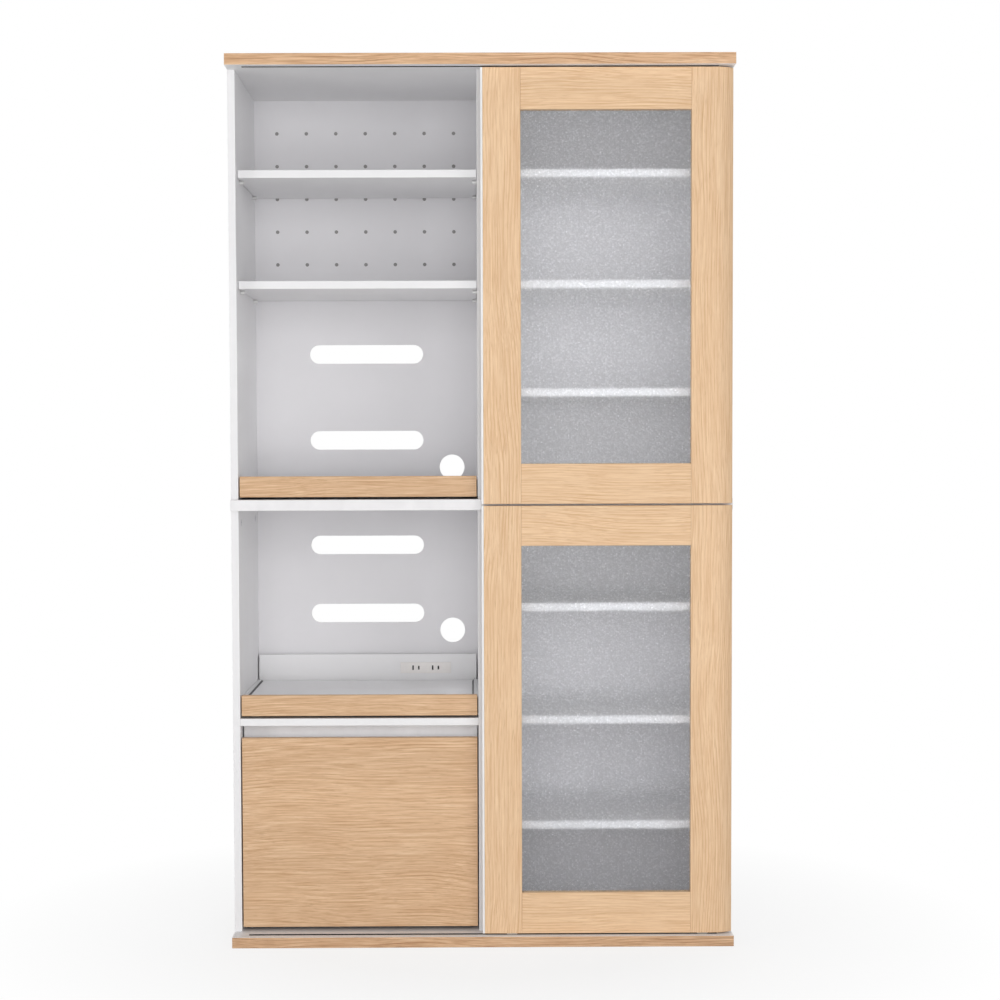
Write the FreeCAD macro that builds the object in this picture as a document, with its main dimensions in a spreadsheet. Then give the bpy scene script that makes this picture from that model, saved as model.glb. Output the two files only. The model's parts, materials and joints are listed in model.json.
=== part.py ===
"""Kitchen cupboard with an open column, two pull-out trays, a deep drawer and two sliding glass doors.

The origin is on the floor under the middle of the cupboard. X runs to the right, Y to the back and Z up.
"""
import FreeCAD, Part
import math
import os

import Sketcher

SIZES = {
    # The whole cupboard
    "overall_width": 1020,
    "overall_depth": 450,
    "overall_height": 1800,
    "overrun": 2,
    # Carcass boards
    "base_thick": 22,
    "top_thick": 23,
    "middle_thick": 22,
    "middle_underside": 888,
    "side_thick": 15,
    "carcass_setback": 53,
    # Thin backs, held in grooves
    "back_thick": 3,
    "back_recess": 17,
    "back_groove_depth": 5,
    "back_play": 0.2,
    "back_tongue": 4.5,
    # Cut-outs in the backs of the open column
    "slot_length": 250,
    "slot_height": 41,
    "cable_hole_radius": 27.5,
    "cable_hole_inset": 55.5,
    "peg_radius": 4,
    "peg_depth": 2,
    "peg_side_margin": 49.5,
    # Loose shelves and their pins
    "shelf_thick": 16,
    "shelf_setback": 27,
    "shelf_end_gap": 1,
    "shelf_back_gap": 2,
    "pin_radius": 2.5,
    "pin_head_radius": 4,
    "pin_shank": 5.5,
    "pin_head": 9,
    "pin_hole_depth": 6,
    "pin_play": 0.05,
    "pin_edge": 45,
    # Cam locks that tie the lower uprights to the middle board
    "cam_radius": 7.5,
    "cam_depth": 12,
    "cam_play": 0.1,
    "cam_drop": 26,
    "cam_edge": 50,
    "cam_slot_width": 2,
    "cam_slot_depth": 3,
    "cam_slot_length": 10,
    # Door tracks in the boards, and the guide rail on the middle board
    "track_width": 12,
    "track_wall": 1.5,
    "track_stop": 32,
    "base_track_depth": 6,
    "top_track_depth": 11,
    "track_play": 0.1,
    "rail_depth": 16,
    "rail_groove_width": 7,
    "rail_groove_depth": 8,
    # Sliding doors
    "door_setback": 14,
    "door_thick": 21,
    "door_gap": 3,
    "door_seam": 4,
    "door_overlap": 0.5,
    "door_end_inset": 2,
    "left_stile_width": 80.5,
    "right_stile_width": 85,
    "seam_rail_width": 81,
    "outer_rail_width": 84,
    "edge_strip_width": 4.5,
    "round_run": 38,
    "round_drop": 15,
    "glass_thick": 4,
    "glass_groove_depth": 8,
    "glass_tongue": 7.5,
    "glass_play": 0.3,
    # Wheels, glides and pins on the doors
    "wheel_inset": 60,
    "wheel_lift": 0.3,
    "axle_radius": 2,
    "axle_play": 0.08,
    "lower_wheel_radius": 15,
    "upper_wheel_radius": 10,
    "wheel_width": 5,
    "mortise_length": 34,
    "mortise_width": 7,
    "mortise_play": 2,
    "lower_axle_length": 17,
    "bracket_thick": 1.5,
    "bracket_width": 30,
    "bracket_height": 30,
    "bracket_lift": 0.6,
    "axle_end": 1,
    "glide_width": 32,
    "glide_foot": 3,
    "glide_height": 26,
    "glide_arm": 6,
    "glide_tongue": 5,
    "glide_clearance": 2,
    "guide_inset": 40,
    "guide_radius": 3.5,
    "guide_flange_radius": 8,
    "guide_flange": 2,
    "guide_clearance": 2,
    # Telescopic slides
    "slide_space": 12.7,
    "slide_height": 35,
    "slide_wall": 1.2,
    "slide_reach": 9,
    "slide_play": 0.6,
    "slide_gap": 0.8,
    "slide_front_gap": 2,
    "slide_back_gap": 6,
    "slide_rise": 1,
    # Pull-out trays
    "front_recess": 2,
    "front_side_gap": 2.5,
    "tray_front_height": 42.4,
    "tray_front_thick": 16,
    "tray_front_gap": 5,
    "tray_lip": 8.4,
    "tray_thick": 12,
    "tray_back_gap": 8,
    "batten_width": 15,
    "batten_lift": 2,
    # Fixed shelf over the drawer
    "fixed_shelf_thick": 15,
    "fixed_shelf_underside": 447,
    # Drawer
    "drawer_front_thick": 18,
    "drawer_front_gap": 9,
    "drawer_top_gap": 2,
    "pull_height": 23.5,
    "pull_wall": 2,
    "pull_channel": 22,
    "pull_drop": 16,
    "drawer_side_thick": 12,
    "drawer_side_drop": 32.5,
    "drawer_side_lift": 19,
    "drawer_back_gap": 27,
    "drawer_bottom_thick": 5,
    "drawer_bottom_lift": 12,
    "drawer_bottom_tongue": 5,
    "drawer_groove_play": 0.2,
    "drawer_slide_lift": 45,
    # Outlet board at the back of the lower bay
    "outlet_board_height": 96,
    "outlet_board_thick": 12,
    "outlet_board_gap": 3,
    "outlet_board_standoff": 9,
    "outlet_width": 112,
    "outlet_height": 24,
    "outlet_plate_thick": 3,
    "outlet_inset": 115.5,
    "outlet_drop": 30,
    "outlet_body_width": 96,
    "outlet_body_height": 19,
    "outlet_body_depth": 19,
    "outlet_play": 0.5,
    "socket_pitch": 43.4,
    "blade_pitch": 12.7,
    "blade_width": 2.2,
    "blade_short": 7,
    "blade_long": 9,
    "gland_radius": 3.5,
    "gland_length": 8,
}
PEG_COLUMNS = 7
PEG_ROWS = 5
FULL_TURN = 360
# Small round things that repeat have flat sides, so that their meshes stay light
PIN_SIDES = 8
PEG_SIDES = 12
CAM_SIDES = 16
# Heights of the shelves' undersides, as shares of the clear height that they divide
SHELF_PLACES = ("high", "middle", "low")
UPPER_SHELF_SHARES = (0.754, 0.495, 0.241)
LOWER_SHELF_SHARES = (0.759, 0.49, 0.238)
# Heights of the middles of the slots and cable holes, as shares of the bay in front of them
UPPER_SLOT_SHARES = (0.726, 0.284)
UPPER_CABLE_SHARE = 0.145
LOWER_SLOT_SHARES = (0.793, 0.437)
LOWER_CABLE_SHARE = 0.347

doc = FreeCAD.newDocument("kitchen_cupboard")
sheet = doc.addObject("Spreadsheet::Sheet", "Sizes")
nodes = []


class Term:
    """A length worked out from the sheet: its value now, and the expression that keeps it."""

    def __init__(self, value, text):
        self.value = value
        self.text = text

    def __add__(self, other):
        other = as_term(other)
        return Term(self.value + other.value, f"({self.text} + {other.text})")

    def __sub__(self, other):
        other = as_term(other)
        return Term(self.value - other.value, f"({self.text} - {other.text})")

    def __mul__(self, other):
        other = as_term(other)
        return Term(self.value * other.value, f"({self.text} * {other.text})")

    def __truediv__(self, other):
        other = as_term(other)
        return Term(self.value / other.value, f"({self.text} / {other.text})")

    def __neg__(self):
        return Term(-self.value, f"(-{self.text})")


def as_term(item):
    """A term as it is, or a plain count or zero as a term."""
    if isinstance(item, Term):
        return item
    return Term(float(item), str(item))


def fill_sheet():
    """Writes every driving size to the sheet and returns the sizes as terms by name."""
    for row, (name, value) in enumerate(SIZES.items(), start=1):
        sheet.set(f"A{row}", name)
        sheet.set(f"B{row}", str(value))
        sheet.setAlias(f"B{row}", name)
    doc.recompute()
    return {name: Term(float(sheet.get(name)), f"Sizes.{name}") for name in SIZES}


class Sizes:
    """The sheet's sizes as attributes."""

    def __init__(self, terms):
        self.__dict__.update(terms)


s = Sizes(fill_sheet())
ZERO = as_term(0)


def place(item, at):
    """Binds an object's place to three terms."""
    for axis, term in zip("xyz", at):
        item.setExpression(f"Placement.Base.{axis}", as_term(term).text)
    return item


def node(item, label):
    """Marks an object as one of the cupboard's pieces."""
    item.Label = label
    nodes.append(item)
    return item


def block(name, x, y, z):
    """A rectangular board between two terms along each axis."""
    item = doc.addObject("Part::Box", name)
    for size, (low, high) in zip(("Length", "Width", "Height"), (x, y, z)):
        item.setExpression(size, (as_term(high) - low).text)
    return place(item, [low for low, high in (x, y, z)])


TURNS = {
    "+x": FreeCAD.Rotation(FreeCAD.Vector(0, 1, 0), 90),
    "-x": FreeCAD.Rotation(FreeCAD.Vector(0, 1, 0), -90),
    "+y": FreeCAD.Rotation(FreeCAD.Vector(1, 0, 0), -90),
    "-z": FreeCAD.Rotation(FreeCAD.Vector(1, 0, 0), 180),
}


def rod(name, at, radius, length, direction, sides=0):
    """A cylinder from a point along one axis, or a bar with a number of flat sides."""
    kind, reach = ("Part::Prism", "Circumradius") if sides else ("Part::Cylinder", "Radius")
    item = doc.addObject(kind, name)
    if sides:
        item.Polygon = sides
    item.Placement = FreeCAD.Placement(FreeCAD.Vector(), TURNS[direction])
    item.setExpression(reach, radius.text)
    item.setExpression("Height", length.text)
    return place(item, at)


def joined(name, pieces):
    """One solid of several that touch or cross."""
    item = doc.addObject("Part::MultiFuse", name)
    item.Shapes = pieces
    return item


def cut(name, base, tools):
    """A piece with the tools' shapes taken out of it."""
    item = doc.addObject("Part::Cut", name)
    item.Base = base
    item.Tool = tools[0] if len(tools) == 1 else joined(f"{name}_tools", tools)
    return item


def group(name, pieces):
    """Several like pieces in one node, as separate solids."""
    item = doc.addObject("Part::Compound", name)
    item.Links = pieces
    return item


def mirrored(name, source, plane_x):
    """The other hand of a piece, across a plane square to X."""
    item = doc.addObject("Part::Mirroring", name)
    item.Source = source
    item.Normal = FreeCAD.Vector(1, 0, 0)
    item.setExpression("Base.x", as_term(plane_x).text)
    return item


def again(name, source, at, turned_about_z=False):
    """A further copy of a small piece at another place."""
    item = doc.addObject("App::Link", name)
    item.LinkedObject = source
    half_turn = FULL_TURN / 2 if turned_about_z else 0
    item.Placement = FreeCAD.Placement(
        FreeCAD.Vector(), FreeCAD.Rotation(FreeCAD.Vector(0, 0, 1), half_turn)
    )
    return place(item, at)


def hold(sketch, geometry, point, lengths):
    """Holds a sketch point at distances from the sketch's origin."""
    for kind, term in lengths.items():
        index = sketch.addConstraint(
            Sketcher.Constraint(kind, -1, 1, geometry, point, term.value)
        )
        sketch.setExpression(f"Constraints[{index}]", term.text)


def arc_between(start, end, centre):
    """The arc from start to end, counter-clockwise round the centre."""
    first = math.atan2(start.y - centre.y, start.x - centre.x)
    last = math.atan2(end.y - centre.y, end.x - centre.x)
    if last < first:
        last += 2 * math.pi
    circle = Part.Circle(centre, FreeCAD.Vector(0, 0, 1), (start - centre).Length)
    return Part.ArcOfCircle(circle, first, last)


def draw_outline(sketch, outline):
    """Draws a closed outline.

    Each corner is (u, v), or (u, v, centre) where an arc leaves it: the centre then lies straight
    above or below that corner.
    """
    first = sketch.GeometryCount
    count = len(outline)
    points = [FreeCAD.Vector(c[0].value, c[1].value, 0) for c in outline]
    for i, corner in enumerate(outline):
        start, end = points[i], points[(i + 1) % count]
        if len(corner) == 2:
            sketch.addGeometry(Part.LineSegment(start, end), False)
        else:
            centre = FreeCAD.Vector(corner[0].value, corner[2].value, 0)
            sketch.addGeometry(arc_between(start, end, centre), False)
    for i, corner in enumerate(outline):
        here, following = first + i, first + (i + 1) % count
        sketch.addConstraint(Sketcher.Constraint("Coincident", here, 2, following, 1))
        hold(sketch, here, 1, {"DistanceX": corner[0], "DistanceY": corner[1]})
        if len(corner) == 3:
            hold(sketch, here, 3, {"DistanceX": corner[0]})


def draw_circle(sketch, centre, radius):
    """Draws a circle held by its centre and radius."""
    middle = FreeCAD.Vector(centre[0].value, centre[1].value, 0)
    circle = Part.Circle(middle, FreeCAD.Vector(0, 0, 1), radius.value)
    index = sketch.addGeometry(circle, False)
    hold(sketch, index, 3, {"DistanceX": centre[0], "DistanceY": centre[1]})
    size = sketch.addConstraint(Sketcher.Constraint("Radius", index, radius.value))
    sketch.setExpression(f"Constraints[{size}]", radius.text)


def new_sketch(body, name, role):
    """A sketch on one of a body's own origin planes."""
    sketch = body.newObject("Sketcher::SketchObject", name)
    plane = next(f for f in body.Origin.OriginFeatures if f.Role == role)
    sketch.AttachmentSupport = [(plane, "")]
    sketch.MapMode = "FlatFace"
    return sketch


def extruded(name, role, outlines, length, at, circles=()):
    """A section drawn on a plane and drawn out: up from XY, to the front from XZ, to the right from YZ."""
    body = doc.addObject("PartDesign::Body", name)
    sketch = new_sketch(body, f"{name}_section", role)
    for outline in outlines:
        draw_outline(sketch, outline)
    for centre, radius in circles:
        draw_circle(sketch, centre, radius)
    pad = body.newObject("PartDesign::Pad", f"{name}_pad")
    pad.Profile = sketch
    pad.setExpression("Length", as_term(length).text)
    return place(body, at)


def turned(name, role, axis, outline, at):
    """A section turned round one axis of its sketch."""
    body = doc.addObject("PartDesign::Body", name)
    sketch = new_sketch(body, f"{name}_section", role)
    draw_outline(sketch, outline)
    revolution = body.newObject("PartDesign::Revolution", f"{name}_turn")
    revolution.Profile = sketch
    revolution.ReferenceAxis = (sketch, [axis])
    revolution.Angle = FULL_TURN
    return place(body, at)


def rectangle(u, v):
    """The corners of a rectangle between two terms each way."""
    return [(u[0], v[0]), (u[1], v[0]), (u[1], v[1]), (u[0], v[1])]


def regular(centre, radius, sides):
    """The corners of a regular outline round a centre, with a flat side at its right."""
    angles = [2 * math.pi * (i + 0.5) / sides for i in range(sides)]
    return [(centre[0] + radius * math.cos(a), centre[1] + radius * math.sin(a)) for a in angles]


def round_slot(centre, length, height):
    """The outline of a slot with round ends."""
    left = centre[0] - (length - height) / 2
    right = centre[0] + (length - height) / 2
    low = centre[1] - height / 2
    high = centre[1] + height / 2
    return [(left, low), (right, low, centre[1]), (right, high), (left, high, centre[1])]


# Planes that pieces share
half_width = s.overall_width / 2
front = -(s.overall_depth / 2)
rear = s.overall_depth / 2
top_underside = s.overall_height - s.top_thick
middle_top = s.middle_underside + s.middle_thick
carcass_front = front + s.carcass_setback
inner_right = half_width - s.side_thick
inner_left = -inner_right
half_partition = s.side_thick / 2
LEFT_BAY = (inner_left, -half_partition)
RIGHT_BAY = (half_partition, inner_right)
left_bay_middle = (LEFT_BAY[0] + LEFT_BAY[1]) / 2
back_rear = rear - s.back_recess
back_front = back_rear - s.back_thick
BACK_GROOVE = (back_front - s.back_play, back_rear + s.back_play)
front_face = carcass_front + s.front_recess
door_front = front + s.door_setback
door_back = door_front + s.door_thick
door_middle = door_front + s.door_thick / 2
door_left = -s.door_overlap
door_right = half_width - s.door_end_inset
seam_middle = s.middle_underside + s.middle_thick / 2
fixed_shelf_top = s.fixed_shelf_underside + s.fixed_shelf_thick
rail_front = carcass_front - s.rail_depth
rail_middle = carcass_front - s.rail_depth / 2
TRACK_X = (-(half_width - s.track_stop), half_width - s.track_stop)
TRACK_Y = (door_middle - s.track_width / 2, door_middle + s.track_width / 2)
base_track_floor = s.base_thick - s.base_track_depth
top_track_roof = top_underside + s.top_track_depth
shelf_front = carcass_front + s.shelf_setback
shelf_back = back_front - s.shelf_back_gap
SHELF_PIN_Y = (shelf_front + s.pin_edge, shelf_back - s.pin_edge)

outlet_board_rear = back_front - s.outlet_board_standoff
outlet_board_front = outlet_board_rear - s.outlet_board_thick
slide_rear = outlet_board_front - s.slide_back_gap


def heights_between(low, high, shares):
    """Heights at shares of the way from a lower to an upper plane."""
    return [low + (high - low) * share for share in shares]


def shelf_heights(name, low, high, shares):
    """The undersides of shelves that divide a clear height, by name."""
    heights = heights_between(low, high, shares)
    return {f"{name}_{place}": height for place, height in zip(SHELF_PLACES, heights)}


UPPER_RIGHT_SHELVES = shelf_heights("upper_right_shelf", middle_top, top_underside, UPPER_SHELF_SHARES)
LOWER_RIGHT_SHELVES = shelf_heights("lower_right_shelf", s.base_thick, s.middle_underside, LOWER_SHELF_SHARES)
LEFT_SHELVES = {
    "left_shelf_high": UPPER_RIGHT_SHELVES["upper_right_shelf_high"],
    "left_shelf_low": UPPER_RIGHT_SHELVES["upper_right_shelf_middle"],
}
upper_bay_top = LEFT_SHELVES["left_shelf_low"]
back_seam = upper_bay_top + s.shelf_thick / 2


def back_groove_across(name, low, high):
    """The cutter for a groove across a board, for the lower or upper edges of the backs."""
    reach = inner_right + s.back_groove_depth
    return block(name, (-reach, reach), BACK_GROOVE, (low, high))


def flat_boards():
    """Base, middle and top board, each with the grooves for the backs and the door tracks."""
    across = (-half_width, half_width)
    base = block("base_blank", across, (front, rear), (ZERO, s.base_thick))
    base_over = s.base_thick + s.overrun
    tools = [
        back_groove_across("base_back_groove", s.base_thick - s.back_groove_depth, base_over),
        block("base_door_groove", TRACK_X, TRACK_Y, (base_track_floor, base_over)),
    ]
    node(cut("base_board", base, tools), "base_board")

    top = block("top_blank", across, (front, rear), (top_underside, s.overall_height))
    top_under = top_underside - s.overrun
    tools = [
        back_groove_across("top_back_groove", top_under, top_underside + s.back_groove_depth),
        block("top_door_groove", TRACK_X, TRACK_Y, (top_under, top_track_roof)),
    ]
    node(cut("top_board", top, tools), "top_board")

    middle = block("middle_blank", across, (carcass_front, rear), (s.middle_underside, middle_top))
    tools = [
        back_groove_across(
            "middle_groove_under",
            s.middle_underside - s.overrun,
            s.middle_underside + s.back_groove_depth,
        ),
        back_groove_across(
            "middle_groove_over", middle_top - s.back_groove_depth, middle_top + s.overrun
        ),
    ]
    node(cut("middle_board", middle, tools), "middle_board")


def pin_holes(name, face, direction, shelves):
    """The cutters for the pin holes in one face of an upright."""
    radius = s.pin_radius + s.pin_play
    for shelf, underside in shelves.items():
        for end, y in zip(("front", "back"), SHELF_PIN_Y):
            at = (face, y, underside - s.pin_head_radius)
            yield rod(f"{name}_{shelf}_{end}", at, radius, s.pin_hole_depth, direction, PIN_SIDES)


CAM_HEIGHT = s.middle_underside - s.cam_drop
CAM_Y = (carcass_front + s.cam_edge, back_front - s.cam_edge)


def cam_pockets(name, face, direction):
    """The cutters for the two cam locks near the top of a lower upright."""
    for end, y in zip(("front", "back"), CAM_Y):
        at = (face, y, CAM_HEIGHT)
        radius, depth = s.cam_radius + s.cam_play, s.cam_depth + s.cam_play
        yield rod(f"{name}_cam_{end}", at, radius, depth, direction, CAM_SIDES)


def upright(label, x, z, grooved_faces, holes):
    """A side or partition with a groove for the backs in each inner face."""
    blank = block(f"{label}_blank", x, (carcass_front, rear), z)
    tools = []
    for face, into in grooved_faces:
        low, high = (face - s.back_groove_depth, face + s.overrun)
        if into > 0:
            low, high = (face - s.overrun, face + s.back_groove_depth)
        over = (z[0] - s.overrun, z[1] + s.overrun)
        tools.append(block(f"{label}_groove_{len(tools)}", (low, high), BACK_GROOVE, over))
    node(cut(label, blank, tools + list(holes)), label)


def uprights():
    """Two sides and a partition in the lower half, and three more in the upper half."""
    lower = (s.base_thick, s.middle_underside)
    upper = (middle_top, top_underside)
    left_x = (-half_width, inner_left)
    right_x = (inner_right, half_width)
    middle_x = (-half_partition, half_partition)
    left_faces = [(inner_left, -1)]
    right_faces = [(inner_right, 1)]
    middle_faces = [(-half_partition, 1), (half_partition, -1)]

    holes = cam_pockets("lower_left_side", inner_left, "-x")
    upright("lower_left_side", left_x, lower, left_faces, holes)
    holes = list(pin_holes("lower_right_side", inner_right, "+x", LOWER_RIGHT_SHELVES))
    holes += cam_pockets("lower_right_side", inner_right, "+x")
    upright("lower_right_side", right_x, lower, right_faces, holes)
    holes = list(pin_holes("lower_partition", half_partition, "-x", LOWER_RIGHT_SHELVES))
    holes += cam_pockets("lower_partition", -half_partition, "+x")
    upright("lower_partition", middle_x, lower, middle_faces, holes)

    holes = pin_holes("upper_left_side", inner_left, "-x", LEFT_SHELVES)
    upright("upper_left_side", left_x, upper, left_faces, holes)
    holes = pin_holes("upper_right_side", inner_right, "+x", UPPER_RIGHT_SHELVES)
    upright("upper_right_side", right_x, upper, right_faces, holes)
    holes = list(pin_holes("upper_partition_left", -half_partition, "+x", LEFT_SHELVES))
    holes += pin_holes("upper_partition_right", half_partition, "-x", UPPER_RIGHT_SHELVES)
    upright("upper_partition", middle_x, upper, middle_faces, holes)


def cam_locks():
    """Slotted cam discs, flush with the uprights' faces."""
    disc = rod("cam_disc", (ZERO, ZERO, ZERO), s.cam_radius, s.cam_depth, "+x", CAM_SIDES)
    slot = block(
        "cam_slot",
        (s.cam_depth - s.cam_slot_depth, s.cam_depth + s.overrun),
        (-s.cam_slot_length / 2, s.cam_slot_length / 2),
        (-s.cam_slot_width / 2, s.cam_slot_width / 2),
    )
    lock = cut("cam_master", disc, [slot])
    pieces = []
    for name, face, is_turned in (
        ("left", inner_left, False),
        ("partition", -half_partition, True),
        ("right", inner_right, True),
    ):
        for y in CAM_Y:
            bottom = face + s.cam_depth if is_turned else face - s.cam_depth
            at = (bottom, y, CAM_HEIGHT)
            pieces.append(again(f"cam_{name}_{len(pieces)}", lock, at, is_turned))
    node(group("cam_locks", pieces), "cam_locks")


def back_panel(label, bay, z, slots=(), cable_height=None):
    """A thin back standing in the grooves, with vent slots and a cable hole where it has them."""
    x = (bay[0] - s.back_tongue, bay[1] + s.back_tongue)
    middle = (bay[0] + bay[1]) / 2
    outlines = [rectangle(x, z)]
    outlines += [round_slot((middle, height), s.slot_length, s.slot_height) for height in slots]
    circles = []
    if cable_height:
        circles.append(((bay[1] - s.cable_hole_inset, cable_height), s.cable_hole_radius))
    return extruded(label, "XZ_Plane", outlines, s.back_thick, (ZERO, back_rear, ZERO), circles)


def drill_pegs(body):
    """Drills one column of blind peg holes from the front and repeats it across the panel."""
    sketch = new_sketch(body, "peg_column", "XZ_Plane")
    sketch.setExpression("AttachmentOffset.Base.z", s.back_thick.text)
    first_x = LEFT_BAY[0] + s.peg_side_margin
    across = LEFT_BAY[1] - s.peg_side_margin - first_x
    pitch_up = (top_underside - back_seam) / (PEG_ROWS + 1)
    for row in range(PEG_ROWS):
        centre = (first_x, back_seam + pitch_up * (row + 1))
        draw_outline(sketch, regular(centre, s.peg_radius, PEG_SIDES))
    pocket = body.newObject("PartDesign::Pocket", "peg_pocket")
    pocket.Profile = sketch
    pocket.setExpression("Length", s.peg_depth.text)
    pattern = body.newObject("PartDesign::LinearPattern", "peg_pattern")
    pattern.Originals = [pocket]
    pattern.Direction = (sketch, ["H_Axis"])
    pattern.setExpression("Length", across.text)
    pattern.Occurrences = PEG_COLUMNS
    body.Tip = pattern


def backs():
    """The peg panel, the two vented backs and the two plain backs."""
    upper = (middle_top - s.back_tongue, top_underside + s.back_tongue)
    lower = (s.base_thick - s.back_tongue, s.middle_underside + s.back_tongue)
    pegs = back_panel("peg_back", LEFT_BAY, (back_seam, upper[1]))
    drill_pegs(pegs)
    node(pegs, "peg_back")
    slots = heights_between(middle_top, upper_bay_top, UPPER_SLOT_SHARES)
    cable = middle_top + (upper_bay_top - middle_top) * UPPER_CABLE_SHARE
    vent = back_panel("upper_vent_back", LEFT_BAY, (upper[0], back_seam), slots, cable)
    node(vent, "upper_vent_back")
    slots = heights_between(fixed_shelf_top, s.middle_underside, LOWER_SLOT_SHARES)
    cable = fixed_shelf_top + (s.middle_underside - fixed_shelf_top) * LOWER_CABLE_SHARE
    node(back_panel("lower_vent_back", LEFT_BAY, lower, slots, cable), "lower_vent_back")
    plain = [
        back_panel("upper_right_back", RIGHT_BAY, upper),
        back_panel("lower_right_back", RIGHT_BAY, lower),
    ]
    node(group("right_backs", plain), "right_backs")


def shelf_board(name, bay, underside):
    """A loose shelf between two uprights."""
    x = (bay[0] + s.shelf_end_gap, bay[1] - s.shelf_end_gap)
    return block(name, x, (shelf_front, shelf_back), (underside, underside + s.shelf_thick))


def shelves():
    """The loose shelves and the pins they lie on."""
    for label, bay, heights in (
        ("left_shelves", LEFT_BAY, LEFT_SHELVES),
        ("upper_right_shelves", RIGHT_BAY, UPPER_RIGHT_SHELVES),
        ("lower_right_shelves", RIGHT_BAY, LOWER_RIGHT_SHELVES),
    ):
        boards = [shelf_board(name, bay, underside) for name, underside in heights.items()]
        node(group(label, boards), label)

    shank_end = (-s.pin_shank, ZERO, ZERO)
    shank = rod("pin_shank", shank_end, s.pin_radius, s.pin_shank, "+x", PIN_SIDES)
    head = rod("pin_head", (ZERO, ZERO, ZERO), s.pin_head_radius, s.pin_head, "+x", PIN_SIDES)
    pin = joined("pin_master", [shank, head])
    pins = []
    for bay, heights in (
        (LEFT_BAY, LEFT_SHELVES),
        (RIGHT_BAY, UPPER_RIGHT_SHELVES),
        (RIGHT_BAY, LOWER_RIGHT_SHELVES),
    ):
        for underside in heights.values():
            for y in SHELF_PIN_Y:
                for face, is_turned in zip(bay, (False, True)):
                    at = (face, y, underside - s.pin_head_radius)
                    pins.append(again(f"pin_{len(pins)}", pin, at, is_turned))
    node(group("shelf_pins", pins), "shelf_pins")


def tracks():
    """The two channel liners for the doors, and the rail with a groove above and below."""
    y = (TRACK_Y[0] + s.track_play, TRACK_Y[1] - s.track_play)
    inner = (y[0] + s.track_wall, y[1] - s.track_wall)
    low, high = base_track_floor, s.base_thick
    base = [
        (y[0], low),
        (y[1], low),
        (y[1], high),
        (inner[1], high),
        (inner[1], low + s.track_wall),
        (inner[0], low + s.track_wall),
        (inner[0], high),
        (y[0], high),
    ]
    low, high = top_underside, top_track_roof
    top = [
        (y[0], low),
        (inner[0], low),
        (inner[0], high - s.track_wall),
        (inner[1], high - s.track_wall),
        (inner[1], low),
        (y[1], low),
        (y[1], high),
        (y[0], high),
    ]
    length = TRACK_X[1] - TRACK_X[0] - s.track_play * 2
    at = (TRACK_X[0] + s.track_play, ZERO, ZERO)
    liners = [
        extruded("base_track", "YZ_Plane", [base], length, at),
        extruded("top_track", "YZ_Plane", [top], length, at),
    ]
    node(group("door_tracks", liners), "door_tracks")

    groove = (rail_middle - s.rail_groove_width / 2, rail_middle + s.rail_groove_width / 2)
    low, high = s.middle_underside, middle_top
    section = [
        (rail_front, low),
        (groove[0], low),
        (groove[0], low + s.rail_groove_depth),
        (groove[1], low + s.rail_groove_depth),
        (groove[1], low),
        (carcass_front, low),
        (carcass_front, high),
        (groove[1], high),
        (groove[1], high - s.rail_groove_depth),
        (groove[0], high - s.rail_groove_depth),
        (groove[0], high),
        (rail_front, high),
    ]
    at = (-half_width, ZERO, ZERO)
    rail = extruded("middle_guide_rail", "YZ_Plane", [section], s.overall_width, at)
    node(rail, "middle_guide_rail")


GLASS_GROOVE = (
    door_middle - s.glass_thick / 2 - s.glass_play,
    door_middle + s.glass_thick / 2 + s.glass_play,
)
PANE_X = (door_left + s.left_stile_width, door_right - s.right_stile_width)


def left_stile(name, z):
    """The door's left stile, with its glass groove."""
    left = door_left + s.edge_strip_width
    right = PANE_X[0]
    section = [
        (left, door_front),
        (right, door_front),
        (right, GLASS_GROOVE[0]),
        (right - s.glass_groove_depth, GLASS_GROOVE[0]),
        (right - s.glass_groove_depth, GLASS_GROOVE[1]),
        (right, GLASS_GROOVE[1]),
        (right, door_back),
        (left, door_back),
    ]
    return extruded(name, "XY_Plane", [section], z[1] - z[0], (ZERO, ZERO, z[0]))


def right_stile(name, z):
    """The door's right stile, whose outer front edge falls away in a long round."""
    left = PANE_X[1]
    round_radius = (s.round_run * s.round_run + s.round_drop * s.round_drop) / (s.round_drop * 2)
    section = [
        (left, door_front),
        (door_right - s.round_run, door_front, door_front + round_radius),
        (door_right, door_front + s.round_drop),
        (door_right, door_back),
        (left, door_back),
        (left, GLASS_GROOVE[1]),
        (left + s.glass_groove_depth, GLASS_GROOVE[1]),
        (left + s.glass_groove_depth, GLASS_GROOVE[0]),
        (left, GLASS_GROOVE[0]),
    ]
    return extruded(name, "XY_Plane", [section], z[1] - z[0], (ZERO, ZERO, z[0]))


def door_rails(label, z, pane_z):
    """The top and bottom rails of a door, between its stiles, with their glass grooves."""
    low, high = z[0], pane_z[0]
    bottom = [
        (door_front, low),
        (door_back, low),
        (door_back, high),
        (GLASS_GROOVE[1], high),
        (GLASS_GROOVE[1], high - s.glass_groove_depth),
        (GLASS_GROOVE[0], high - s.glass_groove_depth),
        (GLASS_GROOVE[0], high),
        (door_front, high),
    ]
    low, high = pane_z[1], z[1]
    top = [
        (door_front, low),
        (GLASS_GROOVE[0], low),
        (GLASS_GROOVE[0], low + s.glass_groove_depth),
        (GLASS_GROOVE[1], low + s.glass_groove_depth),
        (GLASS_GROOVE[1], low),
        (door_back, low),
        (door_back, high),
        (door_front, high),
    ]
    length = PANE_X[1] - PANE_X[0]
    at = (PANE_X[0], ZERO, ZERO)
    rails = [
        extruded(f"{label}_bottom", "YZ_Plane", [bottom], length, at),
        extruded(f"{label}_top", "YZ_Plane", [top], length, at),
    ]
    node(group(label, rails), label)


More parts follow.
